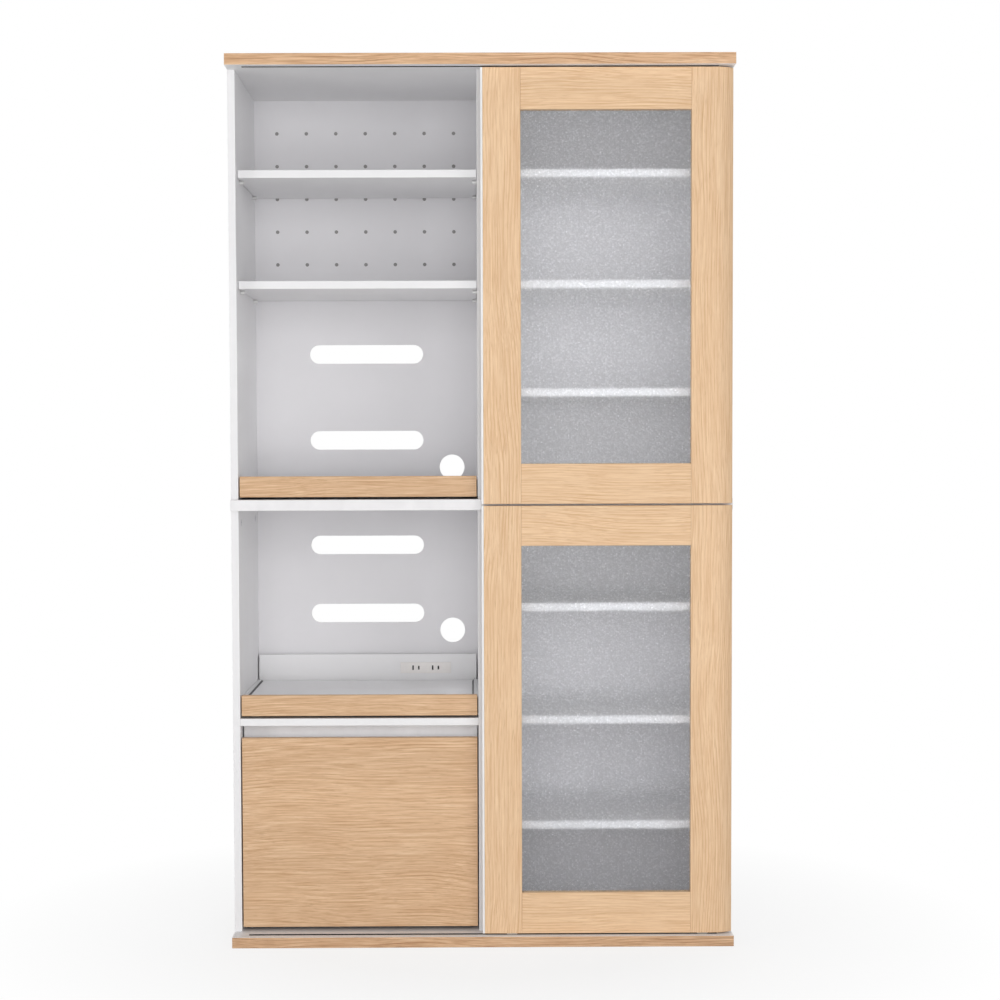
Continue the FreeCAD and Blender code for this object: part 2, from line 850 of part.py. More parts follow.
def glass_and_strip(door, z, pane_z):
    """The pane in the frame's grooves, and the white strip on the door's left edge."""
    glass_x = (PANE_X[0] - s.glass_tongue, PANE_X[1] + s.glass_tongue)
    glass_y = (door_middle - s.glass_thick / 2, door_middle + s.glass_thick / 2)
    glass_z = (pane_z[0] - s.glass_tongue, pane_z[1] + s.glass_tongue)
    node(block(f"{door}_glass", glass_x, glass_y, glass_z), f"{door}_glass")
    strip_x = (door_left, door_left + s.edge_strip_width)
    strip = block(f"{door}_edge_strip", strip_x, (door_front, door_back), z)
    node(strip, f"{door}_edge_strip")


WHEEL_X = {"left": door_left + s.wheel_inset, "right": door_right - s.wheel_inset}


def wheel(label, at, radius):
    """A nylon wheel on an axle along Y."""
    half = s.wheel_width / 2
    outline = rectangle((s.axle_radius + s.axle_play, radius), (-half, half))
    node(turned(label, "XY_Plane", "V_Axis", outline, at), label)


def upper_door():
    """The upper door: it hangs on two wheels in the rail's upper groove, and pins guide its top."""
    z = (seam_middle + s.door_seam / 2, top_underside - s.door_gap)
    pane_z = (z[0] + s.seam_rail_width, z[1] - s.outer_rail_width)
    node(left_stile("upper_door_left_stile", z), "upper_door_left_stile")
    node(right_stile("upper_door_right_stile", z), "upper_door_right_stile")
    door_rails("upper_door_rails", z, pane_z)
    glass_and_strip("upper_door", z, pane_z)

    groove_floor = middle_top - s.rail_groove_depth
    axle_height = groove_floor + s.wheel_lift + s.upper_wheel_radius
    hardware = []
    for side, x in WHEEL_X.items():
        label = f"upper_door_wheel_{side}"
        wheel(label, (x, rail_middle, axle_height), s.upper_wheel_radius)
        plate_x = (x - s.bracket_width / 2, x + s.bracket_width / 2)
        plate_z = (middle_top + s.bracket_lift, middle_top + s.bracket_lift + s.bracket_height)
        plate = block(f"{label}_plate", plate_x, (door_back, door_back + s.bracket_thick), plate_z)
        axle_length = rail_middle + s.wheel_width / 2 + s.axle_end - door_back
        axle = rod(f"{label}_axle", (x, door_back, axle_height), s.axle_radius, axle_length, "+y")
        hardware.append(joined(f"{label}_bracket", [plate, axle]))

    guide_top = top_track_roof - s.track_wall - s.guide_clearance
    outline = [
        (ZERO, ZERO),
        (s.guide_flange_radius, ZERO),
        (s.guide_flange_radius, s.guide_flange),
        (s.guide_radius, s.guide_flange),
        (s.guide_radius, guide_top - z[1]),
        (ZERO, guide_top - z[1]),
    ]
    for side, x in (("left", door_left + s.guide_inset), ("right", door_right - s.guide_inset)):
        at = (x, door_middle, z[1])
        hardware.append(turned(f"upper_door_guide_{side}", "XZ_Plane", "V_Axis", outline, at))
    node(group("upper_door_hardware", hardware), "upper_door_hardware")


def wheel_mortise(name, x, door_bottom, axle_height):
    """The cutters for a wheel's mortise in a stile's lower end and for its axle."""
    mortise = block(
        f"{name}_mortise",
        (x - s.mortise_length / 2, x + s.mortise_length / 2),
        (door_middle - s.mortise_width / 2, door_middle + s.mortise_width / 2),
        (door_bottom - s.overrun, axle_height + s.lower_wheel_radius + s.mortise_play),
    )
    at = (x, door_middle - s.lower_axle_length / 2, axle_height)
    return [mortise, rod(f"{name}_axle_hole", at, s.axle_radius, s.lower_axle_length, "+y")]


def lower_door():
    """The lower door: it stands on two wheels in the base track, and glides guide its top."""
    z = (s.base_thick + s.door_gap, seam_middle - s.door_seam / 2)
    pane_z = (z[0] + s.outer_rail_width, z[1] - s.seam_rail_width)
    axle_height = base_track_floor + s.track_wall + s.wheel_lift + s.lower_wheel_radius
    hardware = []
    for side, make in (("left", left_stile), ("right", right_stile)):
        x = WHEEL_X[side]
        label = f"lower_door_{side}_stile"
        blank = make(f"{label}_blank", z)
        node(cut(label, blank, wheel_mortise(label, x, z[0], axle_height)), label)
        wheel(f"lower_door_wheel_{side}", (x, door_middle, axle_height), s.lower_wheel_radius)
        at = (x, door_middle - s.lower_axle_length / 2, axle_height)
        hardware.append(
            rod(f"lower_door_axle_{side}", at, s.axle_radius, s.lower_axle_length, "+y")
        )
    door_rails("lower_door_rails", z, pane_z)
    glass_and_strip("lower_door", z, pane_z)

    arm_top = s.middle_underside - s.glide_clearance
    tongue_top = s.middle_underside + s.rail_groove_depth - s.glide_clearance
    tongue = (rail_middle - s.glide_tongue / 2, rail_middle + s.glide_tongue / 2)
    section = [
        (door_back, arm_top - s.glide_height),
        (door_back + s.glide_foot, arm_top - s.glide_height),
        (door_back + s.glide_foot, arm_top - s.glide_arm),
        (tongue[1], arm_top - s.glide_arm),
        (tongue[1], tongue_top),
        (tongue[0], tongue_top),
        (tongue[0], arm_top),
        (door_back, arm_top),
    ]
    for side, x in WHEEL_X.items():
        at = (x - s.glide_width / 2, ZERO, ZERO)
        hardware.append(
            extruded(f"lower_door_glide_{side}", "YZ_Plane", [section], s.glide_width, at)
        )
    node(group("lower_door_hardware", hardware), "lower_door_hardware")


def channel(name, x, z, front_end, opens_right):
    """A steel channel of a slide, open to the right or to the left, drawn out to the front."""
    wall = s.slide_wall
    web, lip = (x[0], x[1]) if opens_right else (x[1], x[0])
    web_inner = web + wall if opens_right else web - wall
    section = [
        (web, z[0]),
        (lip, z[0]),
        (lip, z[0] + wall),
        (web_inner, z[0] + wall),
        (web_inner, z[1] - wall),
        (lip, z[1] - wall),
        (lip, z[1]),
        (web, z[1]),
    ]
    return extruded(name, "XZ_Plane", [section], slide_rear - front_end, (ZERO, slide_rear, ZERO))


def slide_pair(name, lowest, front_end):
    """A pair of three-part slides: the cabinet, middle and inner members, nested flange in flange."""
    step = s.slide_wall + s.slide_play
    bottom, top = lowest, lowest + s.slide_height
    wall_face = LEFT_BAY[0]
    inner_face = wall_face + s.slide_space
    web_gap = s.slide_wall + s.slide_gap
    members = {
        "cabinet": ((wall_face, wall_face + s.slide_reach), (bottom, top), True),
        "middle": (
            (wall_face + web_gap, wall_face + web_gap + s.slide_reach),
            (bottom + step, top - step),
            True,
        ),
        "inner": (
            (inner_face - s.slide_reach, inner_face),
            (bottom + step * 2, top - step * 2),
            False,
        ),
    }
    pairs = {}
    for member, (x, z, opens_right) in members.items():
        left = channel(f"{name}_{member}_left", x, z, front_end, opens_right)
        right = mirrored(f"{name}_{member}_right", left, left_bay_middle)
        pairs[member] = [left, right]
    return pairs


FRONT_X = (LEFT_BAY[0] + s.front_side_gap, LEFT_BAY[1] - s.front_side_gap)
CARRIED_X = (LEFT_BAY[0] + s.slide_space, LEFT_BAY[1] - s.slide_space)


def tray(label, floor):
    """A pull-out tray above a floor: its board, two battens, front and slides."""
    bottom = floor + s.tray_front_gap
    top = bottom + s.tray_front_height
    front_rear = front_face + s.tray_front_thick
    node(block(f"{label}_front", FRONT_X, (front_face, front_rear), (bottom, top)), f"{label}_front")

    y = (front_rear, outlet_board_front - s.tray_back_gap)
    surface = top - s.tray_lip
    underside = surface - s.tray_thick
    node(block(f"{label}_board", CARRIED_X, y, (underside, surface)), f"{label}_board")
    batten_z = (bottom + s.batten_lift, underside)
    left = block(f"{label}_batten_left", (CARRIED_X[0], CARRIED_X[0] + s.batten_width), y, batten_z)
    right = mirrored(f"{label}_batten_right", left, left_bay_middle)
    node(group(f"{label}_battens", [left, right]), f"{label}_battens")

    pairs = slide_pair(label, bottom + s.slide_rise, front_rear + s.slide_front_gap)
    node(group(f"{label}_middle_slides", pairs["middle"]), f"{label}_middle_slides")
    node(group(f"{label}_inner_slides", pairs["inner"]), f"{label}_inner_slides")
    return pairs["cabinet"]


def drawer_box(front_rear, pull_underside):
    """The drawer's sides, back and bottom."""
    low = s.base_thick + s.drawer_side_lift
    high = pull_underside - s.drawer_side_drop
    y = (front_rear, back_front - s.drawer_back_gap)
    bottom_low = low + s.drawer_bottom_lift
    bottom_z = (bottom_low, bottom_low + s.drawer_bottom_thick)
    inner_x = (CARRIED_X[0] + s.drawer_side_thick, CARRIED_X[1] - s.drawer_side_thick)

    blank = block("drawer_side_blank", (CARRIED_X[0], inner_x[0]), y, (low, high))
    groove = block(
        "drawer_side_groove",
        (inner_x[0] - s.drawer_bottom_tongue - s.drawer_groove_play, inner_x[0] + s.overrun),
        (y[0] - s.overrun, y[1] + s.overrun),
        (bottom_z[0] - s.drawer_groove_play, bottom_z[1] + s.drawer_groove_play),
    )
    left = cut("drawer_side_left", blank, [groove])
    right = mirrored("drawer_side_right", left, left_bay_middle)
    node(group("drawer_sides", [left, right]), "drawer_sides")

    back_y = (y[1] - s.drawer_side_thick, y[1])
    back_z = (bottom_z[1] + s.drawer_groove_play, high)
    node(block("drawer_back", inner_x, back_y, back_z), "drawer_back")
    bottom_x = (inner_x[0] - s.drawer_bottom_tongue, inner_x[1] + s.drawer_bottom_tongue)
    node(block("drawer_bottom", bottom_x, y, bottom_z), "drawer_bottom")
    return low


def drawer():
    """The deep drawer, its front and the finger channel along the front's top edge."""
    front_rear = front_face + s.drawer_front_thick
    pull_top = s.fixed_shelf_underside - s.drawer_top_gap
    front_top = pull_top - s.pull_height
    front_z = (s.base_thick + s.drawer_front_gap, front_top)
    node(block("drawer_front", FRONT_X, (front_face, front_rear), front_z), "drawer_front")

    floor = front_top - s.pull_drop
    underside = floor - s.pull_wall
    wall_rear = front_rear + s.pull_wall * 2 + s.pull_channel
    section = [
        (front_rear, underside),
        (wall_rear, underside),
        (wall_rear, pull_top),
        (wall_rear - s.pull_wall, pull_top),
        (wall_rear - s.pull_wall, floor),
        (front_rear + s.pull_wall, floor),
        (front_rear + s.pull_wall, front_top),
        (front_rear, front_top),
    ]
    length = FRONT_X[1] - FRONT_X[0]
    pull = extruded("drawer_pull", "YZ_Plane", [section], length, (FRONT_X[0], ZERO, ZERO))
    node(pull, "drawer_pull")

    box_low = drawer_box(front_rear, underside)
    pairs = slide_pair("drawer", box_low + s.drawer_slide_lift, front_rear + s.slide_front_gap)
    node(group("drawer_middle_slides", pairs["middle"]), "drawer_middle_slides")
    node(group("drawer_inner_slides", pairs["inner"]), "drawer_inner_slides")
    return pairs["cabinet"]


def fixed_shelf():
    """The fixed shelf between the lower tray and the drawer."""
    z = (s.fixed_shelf_underside, fixed_shelf_top)
    node(block("fixed_shelf", LEFT_BAY, (carcass_front, back_front), z), "fixed_shelf")


def outlet():
    """The low board at the back of the lower bay, and the double outlet set into it."""
    board_x = (LEFT_BAY[0] + s.outlet_board_gap, LEFT_BAY[1] - s.outlet_board_gap)
    board_z = (fixed_shelf_top, fixed_shelf_top + s.outlet_board_height)
    middle_x = LEFT_BAY[1] - s.outlet_inset
    middle_z = board_z[1] - s.outlet_drop
    half_body = (s.outlet_body_width / 2, s.outlet_body_height / 2)
    hole = rectangle(
        (middle_x - half_body[0] - s.outlet_play, middle_x + half_body[0] + s.outlet_play),
        (middle_z - half_body[1] - s.outlet_play, middle_z + half_body[1] + s.outlet_play),
    )
    outlines = [rectangle(board_x, board_z), hole]
    at = (ZERO, outlet_board_rear, ZERO)
    node(extruded("outlet_board", "XZ_Plane", outlines, s.outlet_board_thick, at), "outlet_board")

    body_rear = outlet_board_front + s.outlet_body_depth
    box = block(
        "outlet_box",
        (middle_x - half_body[0], middle_x + half_body[0]),
        (outlet_board_front, body_rear),
        (middle_z - half_body[1], middle_z + half_body[1]),
    )
    gland_at = (middle_x + half_body[0] - s.gland_radius * 2, body_rear - s.gland_radius, middle_z)
    gland_length = half_body[1] + s.gland_length
    gland = rod("outlet_gland", gland_at, s.gland_radius - s.outlet_play, gland_length, "-z")
    node(joined("outlet_body", [box, gland]), "outlet_body")

    plate = rectangle(
        (middle_x - s.outlet_width / 2, middle_x + s.outlet_width / 2),
        (middle_z - s.outlet_height / 2, middle_z + s.outlet_height / 2),
    )
    blades = []
    for socket in (-1, 1):
        for blade, height in ((-1, s.blade_long), (1, s.blade_short)):
            x = middle_x + s.socket_pitch / 2 * socket + s.blade_pitch / 2 * blade
            u = (x - s.blade_width / 2, x + s.blade_width / 2)
            blades.append(rectangle(u, (middle_z - height / 2, middle_z + height / 2)))
    at = (ZERO, outlet_board_front, ZERO)
    node(
        extruded("outlet_plate", "XZ_Plane", [plate] + blades, s.outlet_plate_thick, at),
        "outlet_plate",
    )


def check_and_write():
    """Stops if anything failed, then writes each piece to its own file."""
    doc.recompute()
    failed = [o.Name for o in doc.Objects if {"Invalid", "Error"} & set(o.State)]
    failed += [o.Label for o in nodes if o.Shape.isNull() or not o.Shape.isValid()]
    if failed:
        raise RuntimeError(f"these objects failed: {failed}")
    os.makedirs("parts", exist_ok=True)
    for item in nodes:
        item.Shape.exportStep(f"parts/{item.Label}.step")
    print(f"{len(nodes)} pieces written")


def main():
    """Builds the cupboard from its carcass outwards."""
    flat_boards()
    uprights()
    cam_locks()
    backs()
    shelves()
    tracks()
    fixed_shelf()
    outlet()
    upper_door()
    lower_door()
    cabinet_slides = tray("upper_tray", middle_top)
    cabinet_slides += tray("lower_tray", fixed_shelf_top)
    cabinet_slides += drawer()
    node(group("cabinet_slides", cabinet_slides), "cabinet_slides")
    check_and_write()


main()
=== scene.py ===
"""Looks of the kitchen cupboard: eased boards, oak print, pebbled glass, slides, outlet and the studio.

Lengths are in metres in the cupboard's own frame: X to the right, Y to the back, Z up from the floor.
"""
from __future__ import annotations

import json
import logging
import math
from contextlib import contextmanager
from dataclasses import dataclass, field
from enum import Enum
from typing import Iterator, Sequence

import bpy
from mathutils import Matrix, Vector

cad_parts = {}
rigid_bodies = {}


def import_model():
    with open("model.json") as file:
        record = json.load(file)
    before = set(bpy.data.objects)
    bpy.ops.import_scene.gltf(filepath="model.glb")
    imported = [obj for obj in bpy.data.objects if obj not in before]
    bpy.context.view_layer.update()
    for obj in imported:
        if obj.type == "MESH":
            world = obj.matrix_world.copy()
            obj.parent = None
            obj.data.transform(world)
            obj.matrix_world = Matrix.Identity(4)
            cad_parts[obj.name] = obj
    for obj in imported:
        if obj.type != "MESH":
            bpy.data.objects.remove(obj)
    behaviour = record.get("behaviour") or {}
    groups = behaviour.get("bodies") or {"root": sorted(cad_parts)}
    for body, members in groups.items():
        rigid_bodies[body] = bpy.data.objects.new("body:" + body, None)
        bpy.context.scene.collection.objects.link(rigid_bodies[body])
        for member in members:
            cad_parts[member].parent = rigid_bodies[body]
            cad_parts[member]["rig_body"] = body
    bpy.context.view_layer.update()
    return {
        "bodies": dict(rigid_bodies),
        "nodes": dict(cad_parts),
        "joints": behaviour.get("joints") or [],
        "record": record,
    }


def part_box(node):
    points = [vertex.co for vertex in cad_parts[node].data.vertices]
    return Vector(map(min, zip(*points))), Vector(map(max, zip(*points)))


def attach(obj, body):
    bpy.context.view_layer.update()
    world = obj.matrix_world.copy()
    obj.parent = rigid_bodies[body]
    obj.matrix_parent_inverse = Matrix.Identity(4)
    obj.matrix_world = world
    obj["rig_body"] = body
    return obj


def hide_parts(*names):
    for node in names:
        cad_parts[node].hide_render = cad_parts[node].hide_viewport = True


LOG = logging.getLogger("kitchen_cupboard")
Colour = tuple[float, float, float]
Point = tuple[float, float, float]
Pair = tuple[float, float]
Socket = bpy.types.NodeSocket

EDGE_MARK = "edge_wear"
# A noise's middle, and the range that most of its values lie in.
NOISE_LOW = 0.3
NOISE_MIDDLE = 0.5
NOISE_HIGH = 0.7
# Numbers of the sockets of a colour mix, whose names repeat for each kind of value.
MIX_SHARE = 0
MIX_FIRST = 6
MIX_SECOND = 7
MIX_RESULT = 2
# Corners nearer than these are merged, in a copied mesh and after easing.
MERGE_GAP = 2e-6
EMPTY_GAP = 1e-6
# Faces that meet at less than these angles are joined, left without easing, or shaded as one.
FLAT_ANGLE = math.radians(0.6)
SHARP_ANGLE = math.radians(40)
SMOOTH_ANGLE = math.radians(50)
# A face looks some way where the cosine between its normal and that way is more than this.
FACING = 0.9
# How many faces round an eased edge.
EASE_STEPS = 2


class Grain(Enum):
    """The way the oak print runs on a piece: a turn that lays it along X of the print."""

    UP = (0.0, -math.pi / 2, 0.0)
    ACROSS = (0.0, 0.0, 0.0)


class WhiteFace(Enum):
    """The face of an oak board that is white melamine: none, the lower or the upper one."""

    NONE = 0
    UNDER = -1
    OVER = 1


@dataclass(frozen=True)
class Span:
    """A range of values, and the values that its two ends are carried to."""

    low: float
    high: float
    start: float
    end: float


class NodeBench:
    """Lays out shader nodes in one tree."""

    def __init__(self, tree: bpy.types.NodeTree) -> None:
        """Starts with an empty tree."""
        self.tree = tree
        self.tree.nodes.clear()

    def node(self, kind: str, inputs: dict | None = None, **settings: object) -> bpy.types.Node:
        """Adds a node.

        Args:
            kind: the node's type name.
            inputs: values or sockets for its inputs, by name or number.
            settings: the node's own settings.

        Returns:
            The new node.
        """
        made = self.tree.nodes.new(kind)
        for key, value in settings.items():
            setattr(made, key, value)
        for key, value in (inputs or {}).items():
            self.plug(made.inputs[key], value)
        return made

    def plug(self, socket: Socket, value: object) -> None:
        """Links a socket to another one, or sets its plain value.

        Args:
            socket: the socket to feed.
            value: another socket, or a value.
        """
        if isinstance(value, Socket):
            self.tree.links.new(value, socket)
        else:
            socket.default_value = value

    def maths(self, operation: str, first: object, second: object = 0.0) -> Socket:
        """One sum on two values."""
        return self.node("ShaderNodeMath", {0: first, 1: second}, operation=operation).outputs[0]

    def product(self, first: object, second: object) -> Socket:
        """Two values multiplied."""
        return self.maths("MULTIPLY", first, second)

    def ranged(self, value: object, span: Span) -> Socket:
        """Carries a value from one range to another, held at its ends."""
        values = {0: value, 1: span.low, 2: span.high, 3: span.start, 4: span.end}
        return self.node("ShaderNodeMapRange", values).outputs[0]

    def blended(self, share: object, first: object, second: object) -> Socket:
        """Mixes two shaders."""
        return self.node("ShaderNodeMixShader", {0: share, 1: first, 2: second}).outputs[0]

    def seen(self) -> Socket:
        """Tells rays that show a surface from those that only light others.

        Returns:
            One where a ray comes from the camera, from gloss or through glass, and else zero.
        """
        path = self.node("ShaderNodeLightPath").outputs
        total = self.maths("MAXIMUM", path["Is Camera Ray"], path["Is Glossy Ray"])
        return self.maths("MAXIMUM", total, path["Is Transmission Ray"])


class SurfaceBench(NodeBench):
    """Lays out the nodes of one material on object coordinates."""

    def __init__(self, name: str) -> None:
        """Starts a material with a plain surface shader.

        Args:
            name: the material's name.
        """
        self.material = bpy.data.materials.new(name)
        self.material.use_nodes = True
        super().__init__(self.material.node_tree)
        self.output = self.node("ShaderNodeOutputMaterial")
        self.shader = self.node("ShaderNodeBsdfPrincipled")
        self.plug(self.output.inputs["Surface"], self.shader.outputs["BSDF"])
        self.place = self.node("ShaderNodeTexCoord").outputs["Object"]

    def mapped(self, vector: object, scale: Point = (1, 1, 1), turn: Point = (0, 0, 0)) -> Socket:
        """Turns and stretches coordinates."""
        values = {"Vector": vector, "Scale": scale, "Rotation": turn}
        return self.node("ShaderNodeMapping", values).outputs["Vector"]

    def axis(self, vector: object, name: str) -> Socket:
        """One coordinate of a vector."""
        return self.node("ShaderNodeSeparateXYZ", {0: vector}).outputs[name]

    def noise(
        self, grains: float | Point, detail: float = 3.0, rough: float = 0.55, vector: object = None
    ) -> Socket:
        """Soft noise.

        Args:
            grains: grains per metre, along each axis or the same along all.
            detail: how many finer layers it has.
            rough: how strong those layers are.
            vector: coordinates to use in place of the object's own.

        Returns:
            A value around a half.
        """
        scale = grains if isinstance(grains, tuple) else (grains, grains, grains)
        stretched = self.mapped(self.place if vector is None else vector, scale)
        values = {"Vector": stretched, "Scale": 1.0, "Detail": detail, "Roughness": rough}
        return self.node("ShaderNodeTexNoise", values).outputs[0]

    def spread(self, noise: object, low: float, high: float) -> Socket:
        """Carries most of a noise's values to a range."""
        return self.ranged(noise, Span(NOISE_LOW, NOISE_HIGH, low, high))

    def drifted(self, noise: object, low: Colour, high: Colour) -> Socket:
        """Turns a noise into a colour that drifts between two."""
        return self.ramp(noise, ((NOISE_LOW, low), (NOISE_HIGH, high)))

    def cells(self, size: float) -> bpy.types.Node:
        """Round cells of a size, for pebbled surfaces."""
        return self.node("ShaderNodeTexVoronoi", {"Vector": self.place, "Scale": 1.0 / size})

    def mixed(self, share: object, first: object, second: object) -> Socket:
        """Mixes two colours.

        Args:
            share: the second colour's share.
            first: a colour or a socket.
            second: a colour or a socket.

        Returns:
            The mixed colour.
        """
        made = self.node("ShaderNodeMix", data_type="RGBA")
        self.plug(made.inputs[MIX_SHARE], share)
        for index, colour in ((MIX_FIRST, first), (MIX_SECOND, second)):
            self.plug(made.inputs[index], (*colour, 1.0) if isinstance(colour, tuple) else colour)
        return made.outputs[MIX_RESULT]

    def ramp(self, value: object, stops: Sequence[tuple[float, Colour]]) -> Socket:
        """Turns a value into a colour by stops along a ramp.

        Args:
            value: the value.
            stops: places along the ramp with their colours.

        Returns:
            The colour.
        """
        made = self.node("ShaderNodeValToRGB", {0: value})
        for element, (at, colour) in zip(made.color_ramp.elements, stops):
            element.position = at
            element.color = (*colour, 1.0)
        return made.outputs[0]

    def edges(self) -> Socket:
        """The mark that eased edges carry."""
        return self.node("ShaderNodeAttribute", attribute_name=EDGE_MARK).outputs["Fac"]

    def dress(
        self, colour: object, roughness: object, height: object, depth: float, strength: float
    ) -> None:
        """Gives the shader its colour, gloss and relief.

        Args:
            colour: the surface's colour.
            roughness: its roughness.
            height: the relief, from 0 to 1.
            depth: how deep the relief is.
            strength: how much of it shows.
        """
        self.plug(self.shader.inputs["Base Color"], colour)
        self.plug(self.shader.inputs["Roughness"], roughness)
        values = {"Strength": strength, "Distance": depth, "Height": height}
        bump = self.node("ShaderNodeBump", values)
        self.plug(self.shader.inputs["Normal"], bump.outputs["Normal"])


def shaded(colour: Colour, share: float) -> Colour:
    """A colour made darker or lighter by a share."""
    return tuple(part * share for part in colour)


def scaled(colour: Colour, shares: Colour) -> Colour:
    """A colour with each of its parts multiplied by a share of its own."""
    return tuple(part * share for part, share in zip(colour, shares))


@dataclass(frozen=True)
class Finish:
    """A finish that pieces share: its name and the record's slot that it stands for."""

    name: str
    slot: str

    def material(self) -> bpy.types.Material:
        """Finds the finish's material, or makes it when first asked for.

        Returns:
            The material.
        """
        made = bpy.data.materials.get(self.name)
        if made is None:
            bench = SurfaceBench(self.name)
            self.lay(bench)
            made = bench.material
        return made

    def lay(self, bench: SurfaceBench) -> None:
        """Lays the finish's nodes."""
        raise NotImplementedError


@dataclass(frozen=True)
class WhiteBoard(Finish):
    """Satin white melamine with a faint pebbled skin."""

    tone: Colour = (0.9, 0.895, 0.905)
    worn: Colour = (0.76, 0.755, 0.76)
    gloss: Pair = (0.36, 0.5)
    gloss_grain: float = 14.0
    drift_grain: float = 5.0
    drift_detail: float = 4.0
    drift_shade: float = 0.965
    scuff_grain: float = 60.0
    scuffed: Span = Span(0.45, 0.7, 0.0, 0.3)
    pebble_grain: float = 900.0
    pebble_depth: float = 0.0002
    pebble_relief: float = 0.12

    def colour(self, bench: SurfaceBench) -> Socket:
        """The white with its slow drift and the marks along edges.

        Args:
            bench: the material's bench.

        Returns:
            The colour.
        """
        drift = bench.noise(self.drift_grain, self.drift_detail)
        body = bench.drifted(drift, shaded(self.tone, self.drift_shade), self.tone)
        scuffs = bench.ranged(bench.noise(self.scuff_grain), self.scuffed)
        return bench.mixed(bench.product(bench.edges(), scuffs), body, self.worn)

    def lay(self, bench: SurfaceBench) -> None:
        """Lays the melamine's nodes.

        Args:
            bench: the material's bench.
        """
        pebble = bench.noise(self.pebble_grain, detail=2)
        gloss = bench.spread(bench.noise(self.gloss_grain), *self.gloss)
        bench.dress(self.colour(bench), gloss, pebble, self.pebble_depth, self.pebble_relief)


@dataclass(frozen=True)
class Hardboard(WhiteBoard):
    """Thin white back whose raw core shows in its holes and along its cut edges."""

    tone: Colour = (0.865, 0.855, 0.875)
    gloss: Pair = (0.5, 0.62)
    front: float = 0.0
    rear: float = 0.0
    skin: float = 0.0003
    core: Colour = (0.37, 0.36, 0.355)
    core_grain: float = 400.0
    core_shades: Pair = (0.8, 1.0)
    core_stops: Pair = (0.35, 0.65)

    def colour(self, bench: SurfaceBench) -> Socket:
        """The white skins with the raw core between them.

        Args:
            bench: the material's bench.

        Returns:
            The colour.
        """
        depth = bench.axis(bench.place, "Y")
        behind = bench.maths("GREATER_THAN", depth, self.front + self.skin)
        before = bench.maths("LESS_THAN", depth, self.rear - self.skin)
        shades = [shaded(self.core, share) for share in self.core_shades]
        fibres = bench.ramp(bench.noise(self.core_grain), list(zip(self.core_stops, shades)))
        return bench.mixed(bench.product(behind, before), super().colour(bench), fibres)


